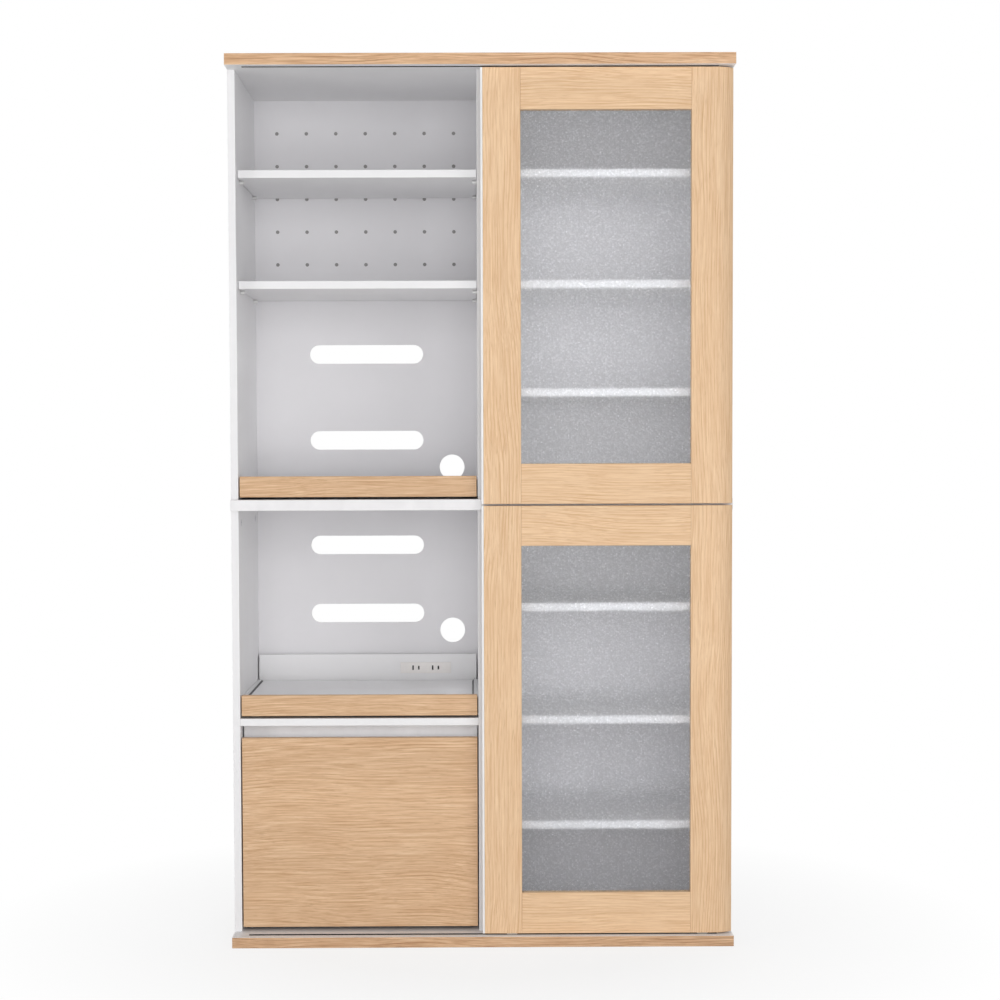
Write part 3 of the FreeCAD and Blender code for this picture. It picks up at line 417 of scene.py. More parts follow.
@dataclass(frozen=True)
class OakPrint(Finish):
    """Printed light oak: flecks, growth rings in slow waves, fibres and short pores along the grain.

    Each grain gives the grains of a noise per metre, first along the wood's grain and then across it.
    """

    grain: Grain = Grain.UP
    white_face: WhiteFace = WhiteFace.NONE
    face_limit: float = 0.5
    tone: Colour = (0.845, 0.59, 0.368)
    ink: Colour = (0.74, 0.6, 0.45)
    pale: Colour = (1.11, 1.17, 1.23)
    gloss: Pair = (0.42, 0.56)
    wave_grain: Point = (1.4, 3.2, 3.2)
    wander: float = 0.05
    band_grain: Point = (1.2, 14, 14)
    band_shades: Pair = (0.95, 1.04)
    fleck_grain: Point = (9, 340, 340)
    fleck_rough: float = 0.65
    dark_flecks: Span = Span(0.34, 0.5, 0.42, 0.0)
    pale_flecks: Span = Span(0.52, 0.68, 0.0, 0.75)
    ring: float = 0.0064
    ring_grain: Point = (0.4, 36, 36)
    ring_unevenness: float = 1.9
    late_wood: Pair = (0.7, 0.96)
    bold: float = 0.8
    patch_grain: Point = (4.5, 44, 44)
    patches: Span = Span(0.4, 0.62, 0.05, 1.0)
    fibre_grain: Point = (18, 560, 560)
    fibre_rough: float = 0.6
    dark_fibres: Span = Span(0.36, 0.52, 0.3, 0.0)
    pore_grain: Point = (38, 700, 700)
    open_pores: Span = Span(0.62, 0.74, 0.0, 1.0)
    pore_share: float = 0.35
    pore_shade: float = 0.8
    pore_depth: float = 0.6
    edge_share: float = 0.2
    edge_shade: float = 0.7
    depth: float = 0.0003
    relief: float = 0.16

    def waved(self, bench: SurfaceBench, board: Socket) -> Socket:
        """Coordinates pushed sideways in slow waves, which the growth rings follow.

        Args:
            bench: the material's bench.
            board: coordinates whose X runs along the grain.

        Returns:
            The waved coordinates.
        """
        drift = bench.noise(self.wave_grain, detail=2, vector=board)
        shift = bench.product(bench.maths("SUBTRACT", drift, NOISE_MIDDLE), self.wander)
        offset = bench.node("ShaderNodeCombineXYZ", {"Y": shift, "Z": shift}).outputs[0]
        return bench.node("ShaderNodeVectorMath", {0: board, 1: offset}, operation="ADD").outputs[0]

    def streaked(self, bench: SurfaceBench, waved: Socket) -> Socket:
        """The tone with slow bands, and with dark and pale flecks along the grain.

        Args:
            bench: the material's bench.
            waved: waved coordinates whose X runs along the grain.

        Returns:
            The colour.
        """
        bands = bench.noise(self.band_grain, vector=waved)
        colour = bench.drifted(bands, *(shaded(self.tone, share) for share in self.band_shades))
        flecks = bench.noise(self.fleck_grain, rough=self.fleck_rough, vector=waved)
        colour = bench.mixed(bench.ranged(flecks, self.dark_flecks), colour, scaled(self.tone, self.ink))
        return bench.mixed(bench.ranged(flecks, self.pale_flecks), colour, scaled(self.tone, self.pale))

    def rings(self, bench: SurfaceBench, waved: Socket) -> Socket:
        """Growth rings of uneven width.

        Args:
            bench: the material's bench.
            waved: waved coordinates whose X runs along the grain.

        Returns:
            A value that climbs from 0 to 1 across each ring.
        """
        across = bench.maths("ADD", bench.axis(waved, "Y"), bench.axis(waved, "Z"))
        uneven = bench.product(bench.noise(self.ring_grain, detail=2, vector=waved), self.ring_unevenness)
        return bench.maths("FRACT", bench.maths("ADD", bench.maths("DIVIDE", across, self.ring), uneven))

    def ringed(self, bench: SurfaceBench, waved: Socket, colour: Socket) -> Socket:
        """Adds the dark late wood of the growth rings, stronger in some patches than in others.

        Args:
            bench: the material's bench.
            waved: waved coordinates whose X runs along the grain.
            colour: the colour so far.

        Returns:
            The colour with its rings.
        """
        late = bench.ranged(self.rings(bench, waved), Span(*self.late_wood, 0.0, self.bold))
        patches = bench.ranged(bench.noise(self.patch_grain, vector=waved), self.patches)
        return bench.mixed(bench.product(late, patches), colour, scaled(self.tone, self.ink))

    def faced(self, bench: SurfaceBench, colour: Socket) -> Socket:
        """Puts white melamine on the board's white face.

        Args:
            bench: the material's bench.
            colour: the colour so far.

        Returns:
            The colour with the white face.
        """
        normal = bench.node("ShaderNodeNewGeometry").outputs["Normal"]
        facing = bench.product(bench.axis(normal, "Z"), float(self.white_face.value))
        on_face = bench.maths("GREATER_THAN", facing, self.face_limit)
        return bench.mixed(on_face, colour, WHITE.colour(bench))

    def lay(self, bench: SurfaceBench) -> None:
        """Lays the oak's nodes.

        Args:
            bench: the material's bench.
        """
        waved = self.waved(bench, bench.mapped(bench.place, turn=self.grain.value))
        dark = scaled(self.tone, self.ink)
        colour = self.ringed(bench, waved, self.streaked(bench, waved))
        fibres = bench.noise(self.fibre_grain, rough=self.fibre_rough, vector=waved)
        colour = bench.mixed(bench.ranged(fibres, self.dark_fibres), colour, dark)
        pores = bench.ranged(bench.noise(self.pore_grain, detail=1, vector=waved), self.open_pores)
        colour = bench.mixed(bench.product(pores, self.pore_share), colour, shaded(dark, self.pore_shade))
        worn = bench.product(bench.edges(), self.edge_share)
        colour = bench.mixed(worn, colour, shaded(self.tone, self.edge_shade))
        if self.white_face is not WhiteFace.NONE:
            colour = self.faced(bench, colour)
        gloss = bench.spread(fibres, *self.gloss)
        height = bench.maths("SUBTRACT", fibres, bench.product(pores, self.pore_depth))
        bench.dress(colour, gloss, height, self.depth, self.relief)


@dataclass(frozen=True)
class PebbledGlass(Finish):
    """Rolled glass with a fine pebbled face; lamps shine through it, and a brighter tint at the middles of
    chosen pebble cells paints glints.
    """

    tint: Colour = (0.805, 0.812, 0.825)
    gloss: Pair = (0.1275, 0.2125)
    bending: float = 1.46
    pebble: float = 0.0036
    fine_grain: float = 900.0
    fine_share: float = 0.4
    chosen: Span = Span(0.45, 0.85, 0.0, 1.0)
    speck: Span = Span(0.3, 0.7, 1.0, 0.0)
    # Tint shares of the plain pebble cells and of the painted glints.
    shades: Pair = (0.92, 1.24)
    depth: float = 0.0008
    relief: float = 0.3

    def lay(self, bench: SurfaceBench) -> None:
        """Lays the glass's nodes.

        Args:
            bench: the material's bench.
        """
        cells = bench.cells(self.pebble).outputs
        fine = bench.noise(self.fine_grain, detail=2)
        height = bench.maths("ADD", cells["Distance"], bench.product(fine, self.fine_share))
        gloss = bench.spread(fine, *self.gloss)
        chosen = bench.ranged(bench.axis(cells["Color"], "X"), self.chosen)
        # Painted glints: chosen pebble cells get a brighter tint towards their middles, painting the sparkle
        # of lamps caught in the pebbles.
        glint = bench.product(chosen, bench.ranged(cells["Distance"], self.speck))
        tint_with_painted_glints = bench.mixed(glint, *(shaded(self.tint, share) for share in self.shades))
        bench.dress(tint_with_painted_glints, gloss, height, self.depth, self.relief)
        bench.shader.inputs["Transmission Weight"].default_value = 1.0
        bench.shader.inputs["IOR"].default_value = self.bending
        clear = bench.node("ShaderNodeBsdfTransparent", {"Color": (*self.tint, 1.0)}).outputs[0]
        lamp = bench.node("ShaderNodeLightPath").outputs["Is Shadow Ray"]
        surface = bench.blended(lamp, bench.shader.outputs["BSDF"], clear)
        bench.plug(bench.output.inputs["Surface"], surface)


@dataclass(frozen=True)
class Moulding(Finish):
    """Moulded, rolled or stoved surface: a body colour with a slow drift, fine skin and worn edges."""

    tone: Colour = (0.8, 0.8, 0.8)
    worn: Colour = (0.6, 0.6, 0.6)
    gloss: Pair = (0.35, 0.5)
    metal: float = 0.0
    skin_grain: Point = (700, 700, 700)
    skin_depth: float = 0.0002
    skin_relief: float = 0.2
    drift_grain: float = 30.0
    drift_shade: float = 0.93
    scuff_grain: float = 150.0
    scuffed: Span = Span(0.4, 0.65, 0.0, 0.5)

    def lay(self, bench: SurfaceBench) -> None:
        """Lays the moulding's nodes.

        Args:
            bench: the material's bench.
        """
        drift = bench.noise(self.drift_grain)
        body = bench.drifted(drift, shaded(self.tone, self.drift_shade), self.tone)
        scuffs = bench.ranged(bench.noise(self.scuff_grain), self.scuffed)
        colour = bench.mixed(bench.product(bench.edges(), scuffs), body, self.worn)
        skin = bench.noise(self.skin_grain)
        gloss = bench.spread(skin, *self.gloss)
        bench.dress(colour, gloss, skin, self.skin_depth, self.skin_relief)
        bench.shader.inputs["Metallic"].default_value = self.metal


WHITE = WhiteBoard("white_melamine", "white_board")
STILE_OAK = OakPrint("stile_oak", "oak_board", Grain.UP)
RAIL_OAK = OakPrint("rail_oak", "oak_board", Grain.ACROSS)
# Oak of the trays' and drawer's fronts: darker than the doors' oak, partly as a deeper print and partly as
# painted shade for fronts set back behind the doors.
FRONT_OAK_DEEP_WITH_PAINTED_SHADE = OakPrint(
    "front_oak",
    "oak_board",
    Grain.ACROSS,
    tone=(0.745, 0.498, 0.302),
    ink=(0.61, 0.46, 0.32),
    pale=(1.16, 1.25, 1.36),
    bold=0.72,
)
TOP_OAK = OakPrint(
    "top_oak",
    "oak_topped_board",
    Grain.ACROSS,
    WhiteFace.UNDER,
    tone=(0.76, 0.485, 0.288),
    ink=(0.48, 0.34, 0.22),
    pale=(1.22, 1.36, 1.5),
    ring=0.0068,
    bold=1.0,
)
BASE_OAK = OakPrint(
    "base_oak",
    "oak_edged_board",
    Grain.ACROSS,
    WhiteFace.OVER,
    tone=(0.68, 0.44, 0.265),
    ink=(0.48, 0.34, 0.22),
    pale=(1.22, 1.36, 1.5),
    ring=0.0068,
    bold=1.0,
)
GLASS = PebbledGlass("pebbled_glass", "frosted_glass")
RAIL_WHITE = Moulding(
    "rail_white",
    "white_rail",
    tone=(0.9, 0.89, 0.9),
    worn=(0.75, 0.75, 0.75),
    skin_grain=(8, 700, 700),
)
STRIP_WHITE = Moulding("strip_white", "edge_strip", tone=(0.93, 0.93, 0.93), worn=(0.85, 0.85, 0.85))
TRACK_BLACK = Moulding(
    "track_black",
    "track_plastic",
    tone=(0.018, 0.016, 0.015),
    worn=(0.06, 0.055, 0.05),
    skin_grain=(8, 600, 600),
)
NYLON = Moulding("nylon", "nylon", tone=(0.72, 0.7, 0.64), worn=(0.55, 0.53, 0.48))
# The upper door's guides are near black in place of zinc, as painted shade in the gap under the top board.
GUIDE_PAINTED_SHADE = Moulding("guide_grey", "zinc", tone=(0.06, 0.06, 0.062), worn=(0.12, 0.12, 0.12))
# Near-black middle and inner slide members: painted shade for the dark gap beside the tray boards and the
# drawer; the cabinet's members stay white enamel.
SLIDE_PAINTED_SHADE = Moulding(
    "slide_dark",
    "slide_steel",
    tone=(0.035, 0.035, 0.037),
    worn=(0.3, 0.3, 0.31),
    gloss=(0.3, 0.42),
    skin_grain=(500, 9, 500),
)
ENAMEL = Moulding(
    "slide_enamel",
    "slide_steel",
    tone=(0.78, 0.78, 0.79),
    worn=(0.45, 0.45, 0.46),
    gloss=(0.28, 0.4),
    skin_grain=(500, 9, 500),
)
ZINC = Moulding(
    "zinc_plate",
    "zinc",
    tone=(0.6, 0.6, 0.62),
    worn=(0.75, 0.75, 0.76),
    gloss=(0.25, 0.42),
    metal=1.0,
    skin_grain=(500, 40, 500),
)
PIN_NICKEL = Moulding(
    "pin_nickel",
    "zinc",
    tone=(0.9, 0.9, 0.89),
    worn=(0.8, 0.8, 0.79),
    gloss=(0.32, 0.45),
    metal=1.0,
    skin_grain=(500, 40, 500),
)
OUTLET = Moulding(
    "outlet_urea",
    "outlet_plastic",
    tone=(0.93, 0.9, 0.88),
    worn=(0.75, 0.73, 0.71),
    gloss=(0.25, 0.36),
)
# Near black: on the sleeves it is painted shade inside the outlet's slots; the outlet's body behind the
# plate takes the same dark plastic.
SLOT_SHADE_AND_DARK_BODY = Moulding(
    "slot_dark",
    "outlet_plastic",
    tone=(0.012, 0.011, 0.01),
    worn=(0.03, 0.03, 0.03),
)


def only(piece: bpy.types.Object) -> None:
    """Selects one piece alone and makes it active.

    Args:
        piece: the piece.
    """
    bpy.ops.object.select_all(action="DESELECT")
    piece.select_set(True)
    bpy.context.view_layer.objects.active = piece


@contextmanager
def editing(piece: bpy.types.Object, selected: str = "SELECT") -> Iterator[None]:
    """Opens a piece alone in edit mode, by edges, and leaves it again.

    Args:
        piece: the piece.
        selected: SELECT to start with all of it selected, DESELECT to start with none.
    """
    only(piece)
    bpy.ops.object.mode_set(mode="EDIT")
    bpy.ops.mesh.select_mode(type="EDGE")
    bpy.ops.mesh.select_all(action=selected)
    yield
    bpy.ops.object.mode_set(mode="OBJECT")


def applied(piece: bpy.types.Object, modifier: bpy.types.Modifier) -> None:
    """Applies one modifier to its piece."""
    only(piece)
    bpy.ops.object.modifier_apply(modifier=modifier.name)


def draw_face(piece: bpy.types.Object, facing: Vector, rim: float, by: Point) -> None:
    """Insets the face of a piece that looks one way, and draws it in or out.

    Args:
        piece: the piece.
        facing: the way the face looks.
        rim: how wide a rim the inset leaves.
        by: how far the face is drawn along each axis.
    """
    only(piece)
    bpy.ops.object.mode_set(mode="EDIT")
    bpy.ops.mesh.select_mode(type="FACE")
    bpy.ops.mesh.select_all(action="DESELECT")
    bpy.ops.object.mode_set(mode="OBJECT")
    for face in piece.data.polygons:
        face.select = face.normal.dot(facing) > FACING
    bpy.ops.object.mode_set(mode="EDIT")
    bpy.ops.mesh.inset(thickness=rim)
    bpy.ops.mesh.extrude_region_move(TRANSFORM_OT_translate={"value": by})
    bpy.ops.object.mode_set(mode="OBJECT")


def placed_copy(piece: bpy.types.Object, place: Matrix) -> bpy.types.Object:
    """Copies a piece, with a mesh of its own that is moved to a place.

    Args:
        piece: the piece.
        place: the place, as a move of the mesh.

    Returns:
        The copy.
    """
    copy = piece.copy()
    copy.data = piece.data.copy()
    copy.data.transform(place)
    bpy.context.scene.collection.objects.link(copy)
    return copy


@dataclass
class Workshop:
    """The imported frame, and the handwork that pieces share."""

    frame: dict
    made: list[str] = field(default_factory=list)

    def copy_of(self, node: str) -> bpy.types.Object:
        """A merged copy of a CAD node's mesh, with its flat faces whole again.

        Args:
            node: the CAD node's name.

        Returns:
            The copy, at the origin and not yet on a body.
        """
        name = f"{node}_eased"
        piece = bpy.data.objects.new(name, self.frame["nodes"][node].data.copy())
        piece.data.name = name
        bpy.context.scene.collection.objects.link(piece)
        only(piece)
        bpy.ops.mesh.customdata_custom_splitnormals_clear()
        with editing(piece):
            bpy.ops.mesh.remove_doubles(threshold=MERGE_GAP)
            bpy.ops.mesh.dissolve_limited(angle_limit=FLAT_ANGLE)
        return piece

    def weigh(self, piece: bpy.types.Object, shortest: float) -> None:
        """Marks the sharp edges that easing rounds.

        Args:
            piece: the piece.
            shortest: edges shorter than this stay sharp.
        """
        with editing(piece, "DESELECT"):
            bpy.ops.mesh.edges_select_sharp(sharpness=SHARP_ANGLE)
        mesh = piece.data
        weights = mesh.attributes.new("bevel_weight_edge", "FLOAT", "EDGE")
        for edge in mesh.edges:
            first, last = (mesh.vertices[v].co for v in edge.vertices)
            weights.data[edge.index].value = float(edge.select and (last - first).length >= shortest)

    def ease(self, piece: bpy.types.Object, width: float, shortest: float) -> None:
        """Rounds a piece's sharp edges and marks the new faces for wear.

        The new faces are told apart by a second material slot.

        Args:
            piece: the piece.
            width: how far the rounding reaches from each edge.
            shortest: edges shorter than this stay sharp.
        """
        self.weigh(piece, shortest)
        mesh = piece.data
        mesh.materials.clear()
        for _ in range(2):
            mesh.materials.append(WHITE.material())
        for face in mesh.polygons:
            face.material_index = 0
        bevel = piece.modifiers.new("eased", "BEVEL")
        bevel.limit_method = "WEIGHT"
        bevel.width = width
        bevel.segments = EASE_STEPS
        bevel.material = 1
        applied(piece, bevel)
        with editing(piece):
            bpy.ops.mesh.remove_doubles(threshold=EMPTY_GAP)
            bpy.ops.mesh.dissolve_degenerate(threshold=EMPTY_GAP)
        self.mark_edges(piece)
        self.shade(piece)

    def mark_edges(self, piece: bpy.types.Object) -> None:
        """Writes the wear mark on the faces that easing made.

        Args:
            piece: the piece.
        """
        mesh = piece.data
        mark = mesh.attributes.new(EDGE_MARK, "FLOAT", "CORNER")
        for face in mesh.polygons:
            for corner in face.loop_indices:
                mark.data[corner].value = float(face.material_index == 1)
            face.material_index = 0

    def shade(self, piece: bpy.types.Object) -> None:
        """Shades a piece so that rounded edges turn the light and broad faces stay flat.

        Args:
            piece: the piece.
        """
        only(piece)
        bpy.ops.object.shade_smooth_by_angle(angle=SMOOTH_ANGLE)
        normals = piece.modifiers.new("flat_faces", "WEIGHTED_NORMAL")
        normals.keep_sharp = True
        applied(piece, normals)

    def fit(self, piece: bpy.types.Object, finish: Finish, body: str, nodes: Sequence[str] = ()) -> None:
        """Dresses a piece, sets it on its body and hides the CAD nodes that it replaces.

        Args:
            piece: the piece.
            finish: its finish.
            body: the CAD body that it moves with.
            nodes: the CAD nodes that it replaces.
        """
        piece.data.materials.clear()
        piece.data.materials.append(finish.material())
        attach(piece, body)
        if nodes:
            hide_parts(*nodes)
        self.made.append(piece.name)
        LOG.info("%s on %s, %d faces", piece.name, body, len(piece.data.polygons))

    def eased(self, node: str, finish: Finish, width: float, shortest: float = 0.012) -> None:
        """Replaces a CAD node by a copy with eased edges.

        Args:
            node: the CAD node.
            finish: the piece's finish.
            width: the easing's width.
            shortest: edges shorter than this stay sharp.
        """
        piece = self.copy_of(node)
        self.ease(piece, width, shortest)
        self.fit(piece, finish, self.body_of(node), [node])

    def parted(
        self, node: str, finishes: tuple[Finish, Finish], height: float, width: float, shortest: float
    ) -> None:
        """Replaces a CAD node of loose solids by two pieces, one below and one above a height.

        Args:
            node: the CAD node.
            finishes: the finish of the solids below the height, and of those above it.
            height: the height that parts them.
            width: the easing's width.
            shortest: edges shorter than this stay sharp.
        """
        for part, finish, drops_high in zip(("low", "high"), finishes, (True, False)):
            piece = self.copy_of(node)
            piece.name = f"{node}_{part}"
            piece.data.name = piece.name
            with editing(piece, "DESELECT"):
                bpy.ops.mesh.select_mode(type="VERT")
            for vertex in piece.data.vertices:
                vertex.select = (vertex.co.z > height) is drops_high
            bpy.ops.object.mode_set(mode="EDIT")
            bpy.ops.mesh.delete(type="VERT")
            bpy.ops.object.mode_set(mode="OBJECT")
            self.ease(piece, width, shortest)
            self.fit(piece, finish, self.body_of(node), [node])

    def islands(self, node: str) -> list[tuple[Vector, Vector]]:
        """Measures the loose solids in a CAD node.

        Args:
            node: the CAD node.

        Returns:
            The lowest and highest corner of each solid, from left to right.
        """
        piece = self.copy_of(node)
        before = set(bpy.data.objects)
        with editing(piece):
            bpy.ops.mesh.separate(type="LOOSE")
        boxes = []
        for part in [piece, *(set(bpy.data.objects) - before)]:
            places = list(zip(*(vertex.co for vertex in part.data.vertices)))
            boxes.append((Vector(map(min, places)), Vector(map(max, places))))
            bpy.data.objects.remove(part)
        return sorted(boxes, key=lambda box: tuple(round(value, 4) for value in box[0]))

    def joined(self, pieces: Sequence[bpy.types.Object], name: str) -> bpy.types.Object:
        """Joins pieces into one, under a name.

        Args:
            pieces: the pieces.
            name: the name.

        Returns:
            The joined piece.
        """
        only(pieces[0])
        for piece in pieces:
            piece.select_set(True)
        bpy.ops.object.join()
        pieces[0].name = name
        pieces[0].data.name = name
        return pieces[0]

    def kept(self, node: str, finish: Finish) -> None:
        """Gives a CAD node that stays its finish.

        Args:
            node: the CAD node.
            finish: its finish.
        """
        mesh = self.frame["nodes"][node].data
        for index in range(len(mesh.materials)):
            mesh.materials[index] = finish.material()
        self.made.append(node)
        LOG.info("%s kept as packed", node)

    def body_of(self, node: str) -> str:
        """The body that carries a CAD node."""
        return self.frame["nodes"][node]["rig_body"]


@dataclass
class ShelfPins:
    """The round pins that carry the loose shelves: one is turned, and the rest are copies of it."""

    shop: Workshop
    shank_radius: float = 0.0025
    sides: int = 24
    ease: float = 0.0005
    seat_gap: float = 1e-4

    def turned(self, head_radius: float, head_length: float, shank: float) -> bpy.types.Object:
        """One pin along X, its head's seat at the origin and its shank before it.

        Args:
            head_radius: the head's radius.
            head_length: the head's length.
            shank: the shank's length.

        Returns:
            The pin.
        """
        bpy.ops.object.select_all(action="DESELECT")
        bpy.ops.mesh.primitive_cylinder_add(
            vertices=self.sides, radius=head_radius, depth=head_length, rotation=(0, math.pi / 2, 0)
        )
        pin = bpy.context.object
        bpy.ops.object.transform_apply(rotation=True)
        pin.data.transform(Matrix.Translation((head_length / 2, 0, 0)))
        draw_face(pin, Vector((-1, 0, 0)), head_radius - self.shank_radius, (-shank, 0, 0))
        self.shop.ease(pin, self.ease, 0.0)
        return pin

    def build(self) -> None:
        """Turns one pin and sets a copy at each place that the frame gives.

        Pins in the right face of a side or partition point their heads to the right, the others to the left.
        """
        places = self.shop.islands("shelf_pins")
        low, high = places[0]
        faces = [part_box(node)[1].x for node in ("upper_left_side", "upper_partition")]
        shank = faces[0] - low.x
        pin = self.turned((high.z - low.z) / 2, high.x - faces[0], shank)
        copies = []
        for low, high in places:
            heads_right = any(abs(low.x + shank - face) < self.seat_gap for face in faces)
            seat = low.x + shank if heads_right else high.x - shank
            turn = Matrix.Identity(4) if heads_right else Matrix.Rotation(math.pi, 4, "Z")
            middle = (low + high) / 2
            copies.append(placed_copy(pin, Matrix.Translation((seat, middle.y, middle.z)) @ turn))
        bpy.data.objects.remove(pin)
        pins = self.shop.joined(copies, "shelf_pins_turned")
        self.shop.fit(pins, PIN_NICKEL, self.shop.body_of("shelf_pins"), ["shelf_pins"])


@dataclass
class Carcass:
    """Boards, uprights, backs and shelves."""

    shop: Workshop
    ease: float = 0.0007
    lock_ease: float = 0.0003
    lock_shortest: float = 0.0005
    boards: tuple[str, ...] = (
        "middle_board",
        "lower_left_side",
        "lower_right_side",
        "lower_partition",
        "upper_left_side",
        "upper_right_side",
        "upper_partition",
        "fixed_shelf",
        "left_shelves",
        "upper_right_shelves",
        "lower_right_shelves",
        "outlet_board",
    )
    backs: tuple[str, ...] = ("peg_back", "upper_vent_back", "lower_vent_back", "right_backs")

    def build(self) -> None:
        """Builds and dresses the carcass."""
        self.shop.eased("top_board", TOP_OAK, self.ease)
        self.shop.eased("base_board", BASE_OAK, self.ease)
        for node in self.boards:
            self.shop.eased(node, WHITE, self.ease)
        low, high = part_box("peg_back")
        hardboard = Hardboard("white_hardboard", "white_back", front=low.y, rear=high.y)
        for node in self.backs:
            self.shop.kept(node, hardboard)
        ShelfPins(self.shop).build()
        self.shop.eased("cam_locks", ZINC, self.lock_ease, self.lock_shortest)


@dataclass
class FixedGuides:
    """The cabinet's slide members, the channel liners and the rail on the middle board."""

    shop: Workshop
    ease: float = 0.0003
    rail_ease: float = 0.0005

    def build(self) -> None:
        """Builds and dresses the guides."""
        self.shop.eased("cabinet_slides", ENAMEL, self.ease)
        self.shop.eased("door_tracks", TRACK_BLACK, self.ease)
        self.shop.eased("middle_guide_rail", RAIL_WHITE, self.rail_ease)


@dataclass
class SlidingDoor:
    """One framed glass door with its strip, wheels and hardware."""

    shop: Workshop
    name: str
    low_hardware: Finish
    high_hardware: Finish
    ease: float = 0.0008
    round_shortest: float = 0.0005
    glass_ease: float = 0.0004
    hardware_ease: float = 0.0003
    hardware_shortest: float = 0.0002

    def build(self) -> None:
        """Builds and dresses the door."""
        self.shop.eased(f"{self.name}_left_stile", STILE_OAK, self.ease)
        self.shop.eased(f"{self.name}_right_stile", STILE_OAK, self.ease, self.round_shortest)
        self.shop.eased(f"{self.name}_rails", RAIL_OAK, self.ease)
        self.shop.eased(f"{self.name}_edge_strip", STRIP_WHITE, self.ease)
        self.shop.eased(f"{self.name}_glass", GLASS, self.glass_ease)
        low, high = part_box(f"{self.name}_glass")
        middle = (low.z + high.z) / 2
        finishes = (self.low_hardware, self.high_hardware)
        hardware = f"{self.name}_hardware"
        self.shop.parted(hardware, finishes, middle, self.hardware_ease, self.hardware_shortest)
        for side in ("left", "right"):
            self.shop.eased(f"{self.name}_wheel_{side}", NYLON, self.ease, self.hardware_shortest)


@dataclass
class PullOut:
    """A tray: its oak front, board, battens and slides."""

    shop: Workshop
    name: str
    ease: float = 0.0008
    slide_ease: float = 0.0003

    def build(self) -> None:
        """Builds and dresses the tray."""
        self.shop.eased(f"{self.name}_front", FRONT_OAK_DEEP_WITH_PAINTED_SHADE, self.ease)
        for part in ("board", "battens"):
            self.shop.eased(f"{self.name}_{part}", WHITE, self.ease)
        # The middle and inner members are near black, as painted shade in the gap beside the board.
        for member in ("middle", "inner"):
            self.shop.eased(f"{self.name}_{member}_slides", SLIDE_PAINTED_SHADE, self.slide_ease)


@dataclass
class Drawer:
    """The deep drawer with its finger channel."""

    shop: Workshop
    ease: float = 0.0008
    box_ease: float = 0.0005
    pull_shortest: float = 0.001
    slide_ease: float = 0.0003

    def build(self) -> None:
        """Builds and dresses the drawer."""
        self.shop.eased("drawer_front", FRONT_OAK_DEEP_WITH_PAINTED_SHADE, self.ease)
        self.shop.eased("drawer_pull", RAIL_WHITE, self.box_ease, self.pull_shortest)
        for node in ("drawer_sides", "drawer_back", "drawer_bottom"):
            self.shop.eased(node, WHITE, self.box_ease)
        # The middle and inner members are near black, as painted shade in the gap beside the drawer.
        for member in ("middle", "inner"):
            self.shop.eased(f"drawer_{member}_slides", SLIDE_PAINTED_SHADE, self.slide_ease)


@dataclass
class Outlet:
    """The double outlet in its low board: plate, near-black sleeves in its slots that paint the shade inside
    them, and the dark body behind.
    """

    shop: Workshop
    plate_ease: float = 0.0006
    plate_shortest: float = 0.002
    socket_pitch: float = 0.0434
    blade_pitch: float = 0.0127
    blade_width: float = 0.0022
    blade_heights: Pair = (0.009, 0.007)
    rim: float = 0.0006
    proud: float = 0.00015
    sunk: float = 0.0022
    sleeve_ease: float = 0.0001

    def sleeve(self, x: float, height: float) -> bpy.types.Object:
        """A near-black sleeve in one slot of the plate, open to the front, that paints the shade inside the
        slot.

        Args:
            x: the slot's middle across the plate.
            height: the slot's height.

        Returns:
            The sleeve.
        """
        low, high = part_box("outlet_plate")
        depth = high.y - low.y
        bpy.ops.object.select_all(action="DESELECT")
        bpy.ops.mesh.primitive_cube_add(size=1.0)
        made = bpy.context.object
        size = (self.blade_width + self.rim * 2, depth, height + self.rim * 2)
        place = (x, low.y - self.proud + depth / 2, (low.z + high.z) / 2)
        made.data.transform(Matrix.Translation(place) @ Matrix.Diagonal((*size, 1.0)))
        draw_face(made, Vector((0, -1, 0)), self.rim, (0, self.sunk, 0))
        return made

    def sleeves(self) -> bpy.types.Object:
        """Makes the sleeves of the left socket and copies them for the right one.

        Returns:
            The four sleeves as one piece.
        """
        low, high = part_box("outlet_plate")
        socket = (low.x + high.x) / 2 - self.socket_pitch / 2
        made = []
        for side, height in zip((-0.5, 0.5), self.blade_heights):
            made.append(self.sleeve(socket + self.blade_pitch * side, height))
        across = Matrix.Translation((self.socket_pitch, 0, 0))
        made += [placed_copy(sleeve, across) for sleeve in made]
        return self.shop.joined(made, "outlet_sleeves")

    def build(self) -> None:
        """Builds and dresses the outlet."""
        self.shop.eased("outlet_plate", OUTLET, self.plate_ease, self.plate_shortest)
        self.shop.kept("outlet_body", SLOT_SHADE_AND_DARK_BODY)
        sleeves = self.sleeves()
        self.shop.ease(sleeves, self.sleeve_ease, 0.0)
        self.shop.fit(sleeves, SLOT_SHADE_AND_DARK_BODY, self.shop.body_of("outlet_plate"))


@dataclass(frozen=True)
class Lamp:
    """A large soft lamp: its name, place, width and height, power in watts, and whether gloss mirrors it."""

    name: str
    at: Point
    size: Pair
    power: float
    mirrored: bool = True


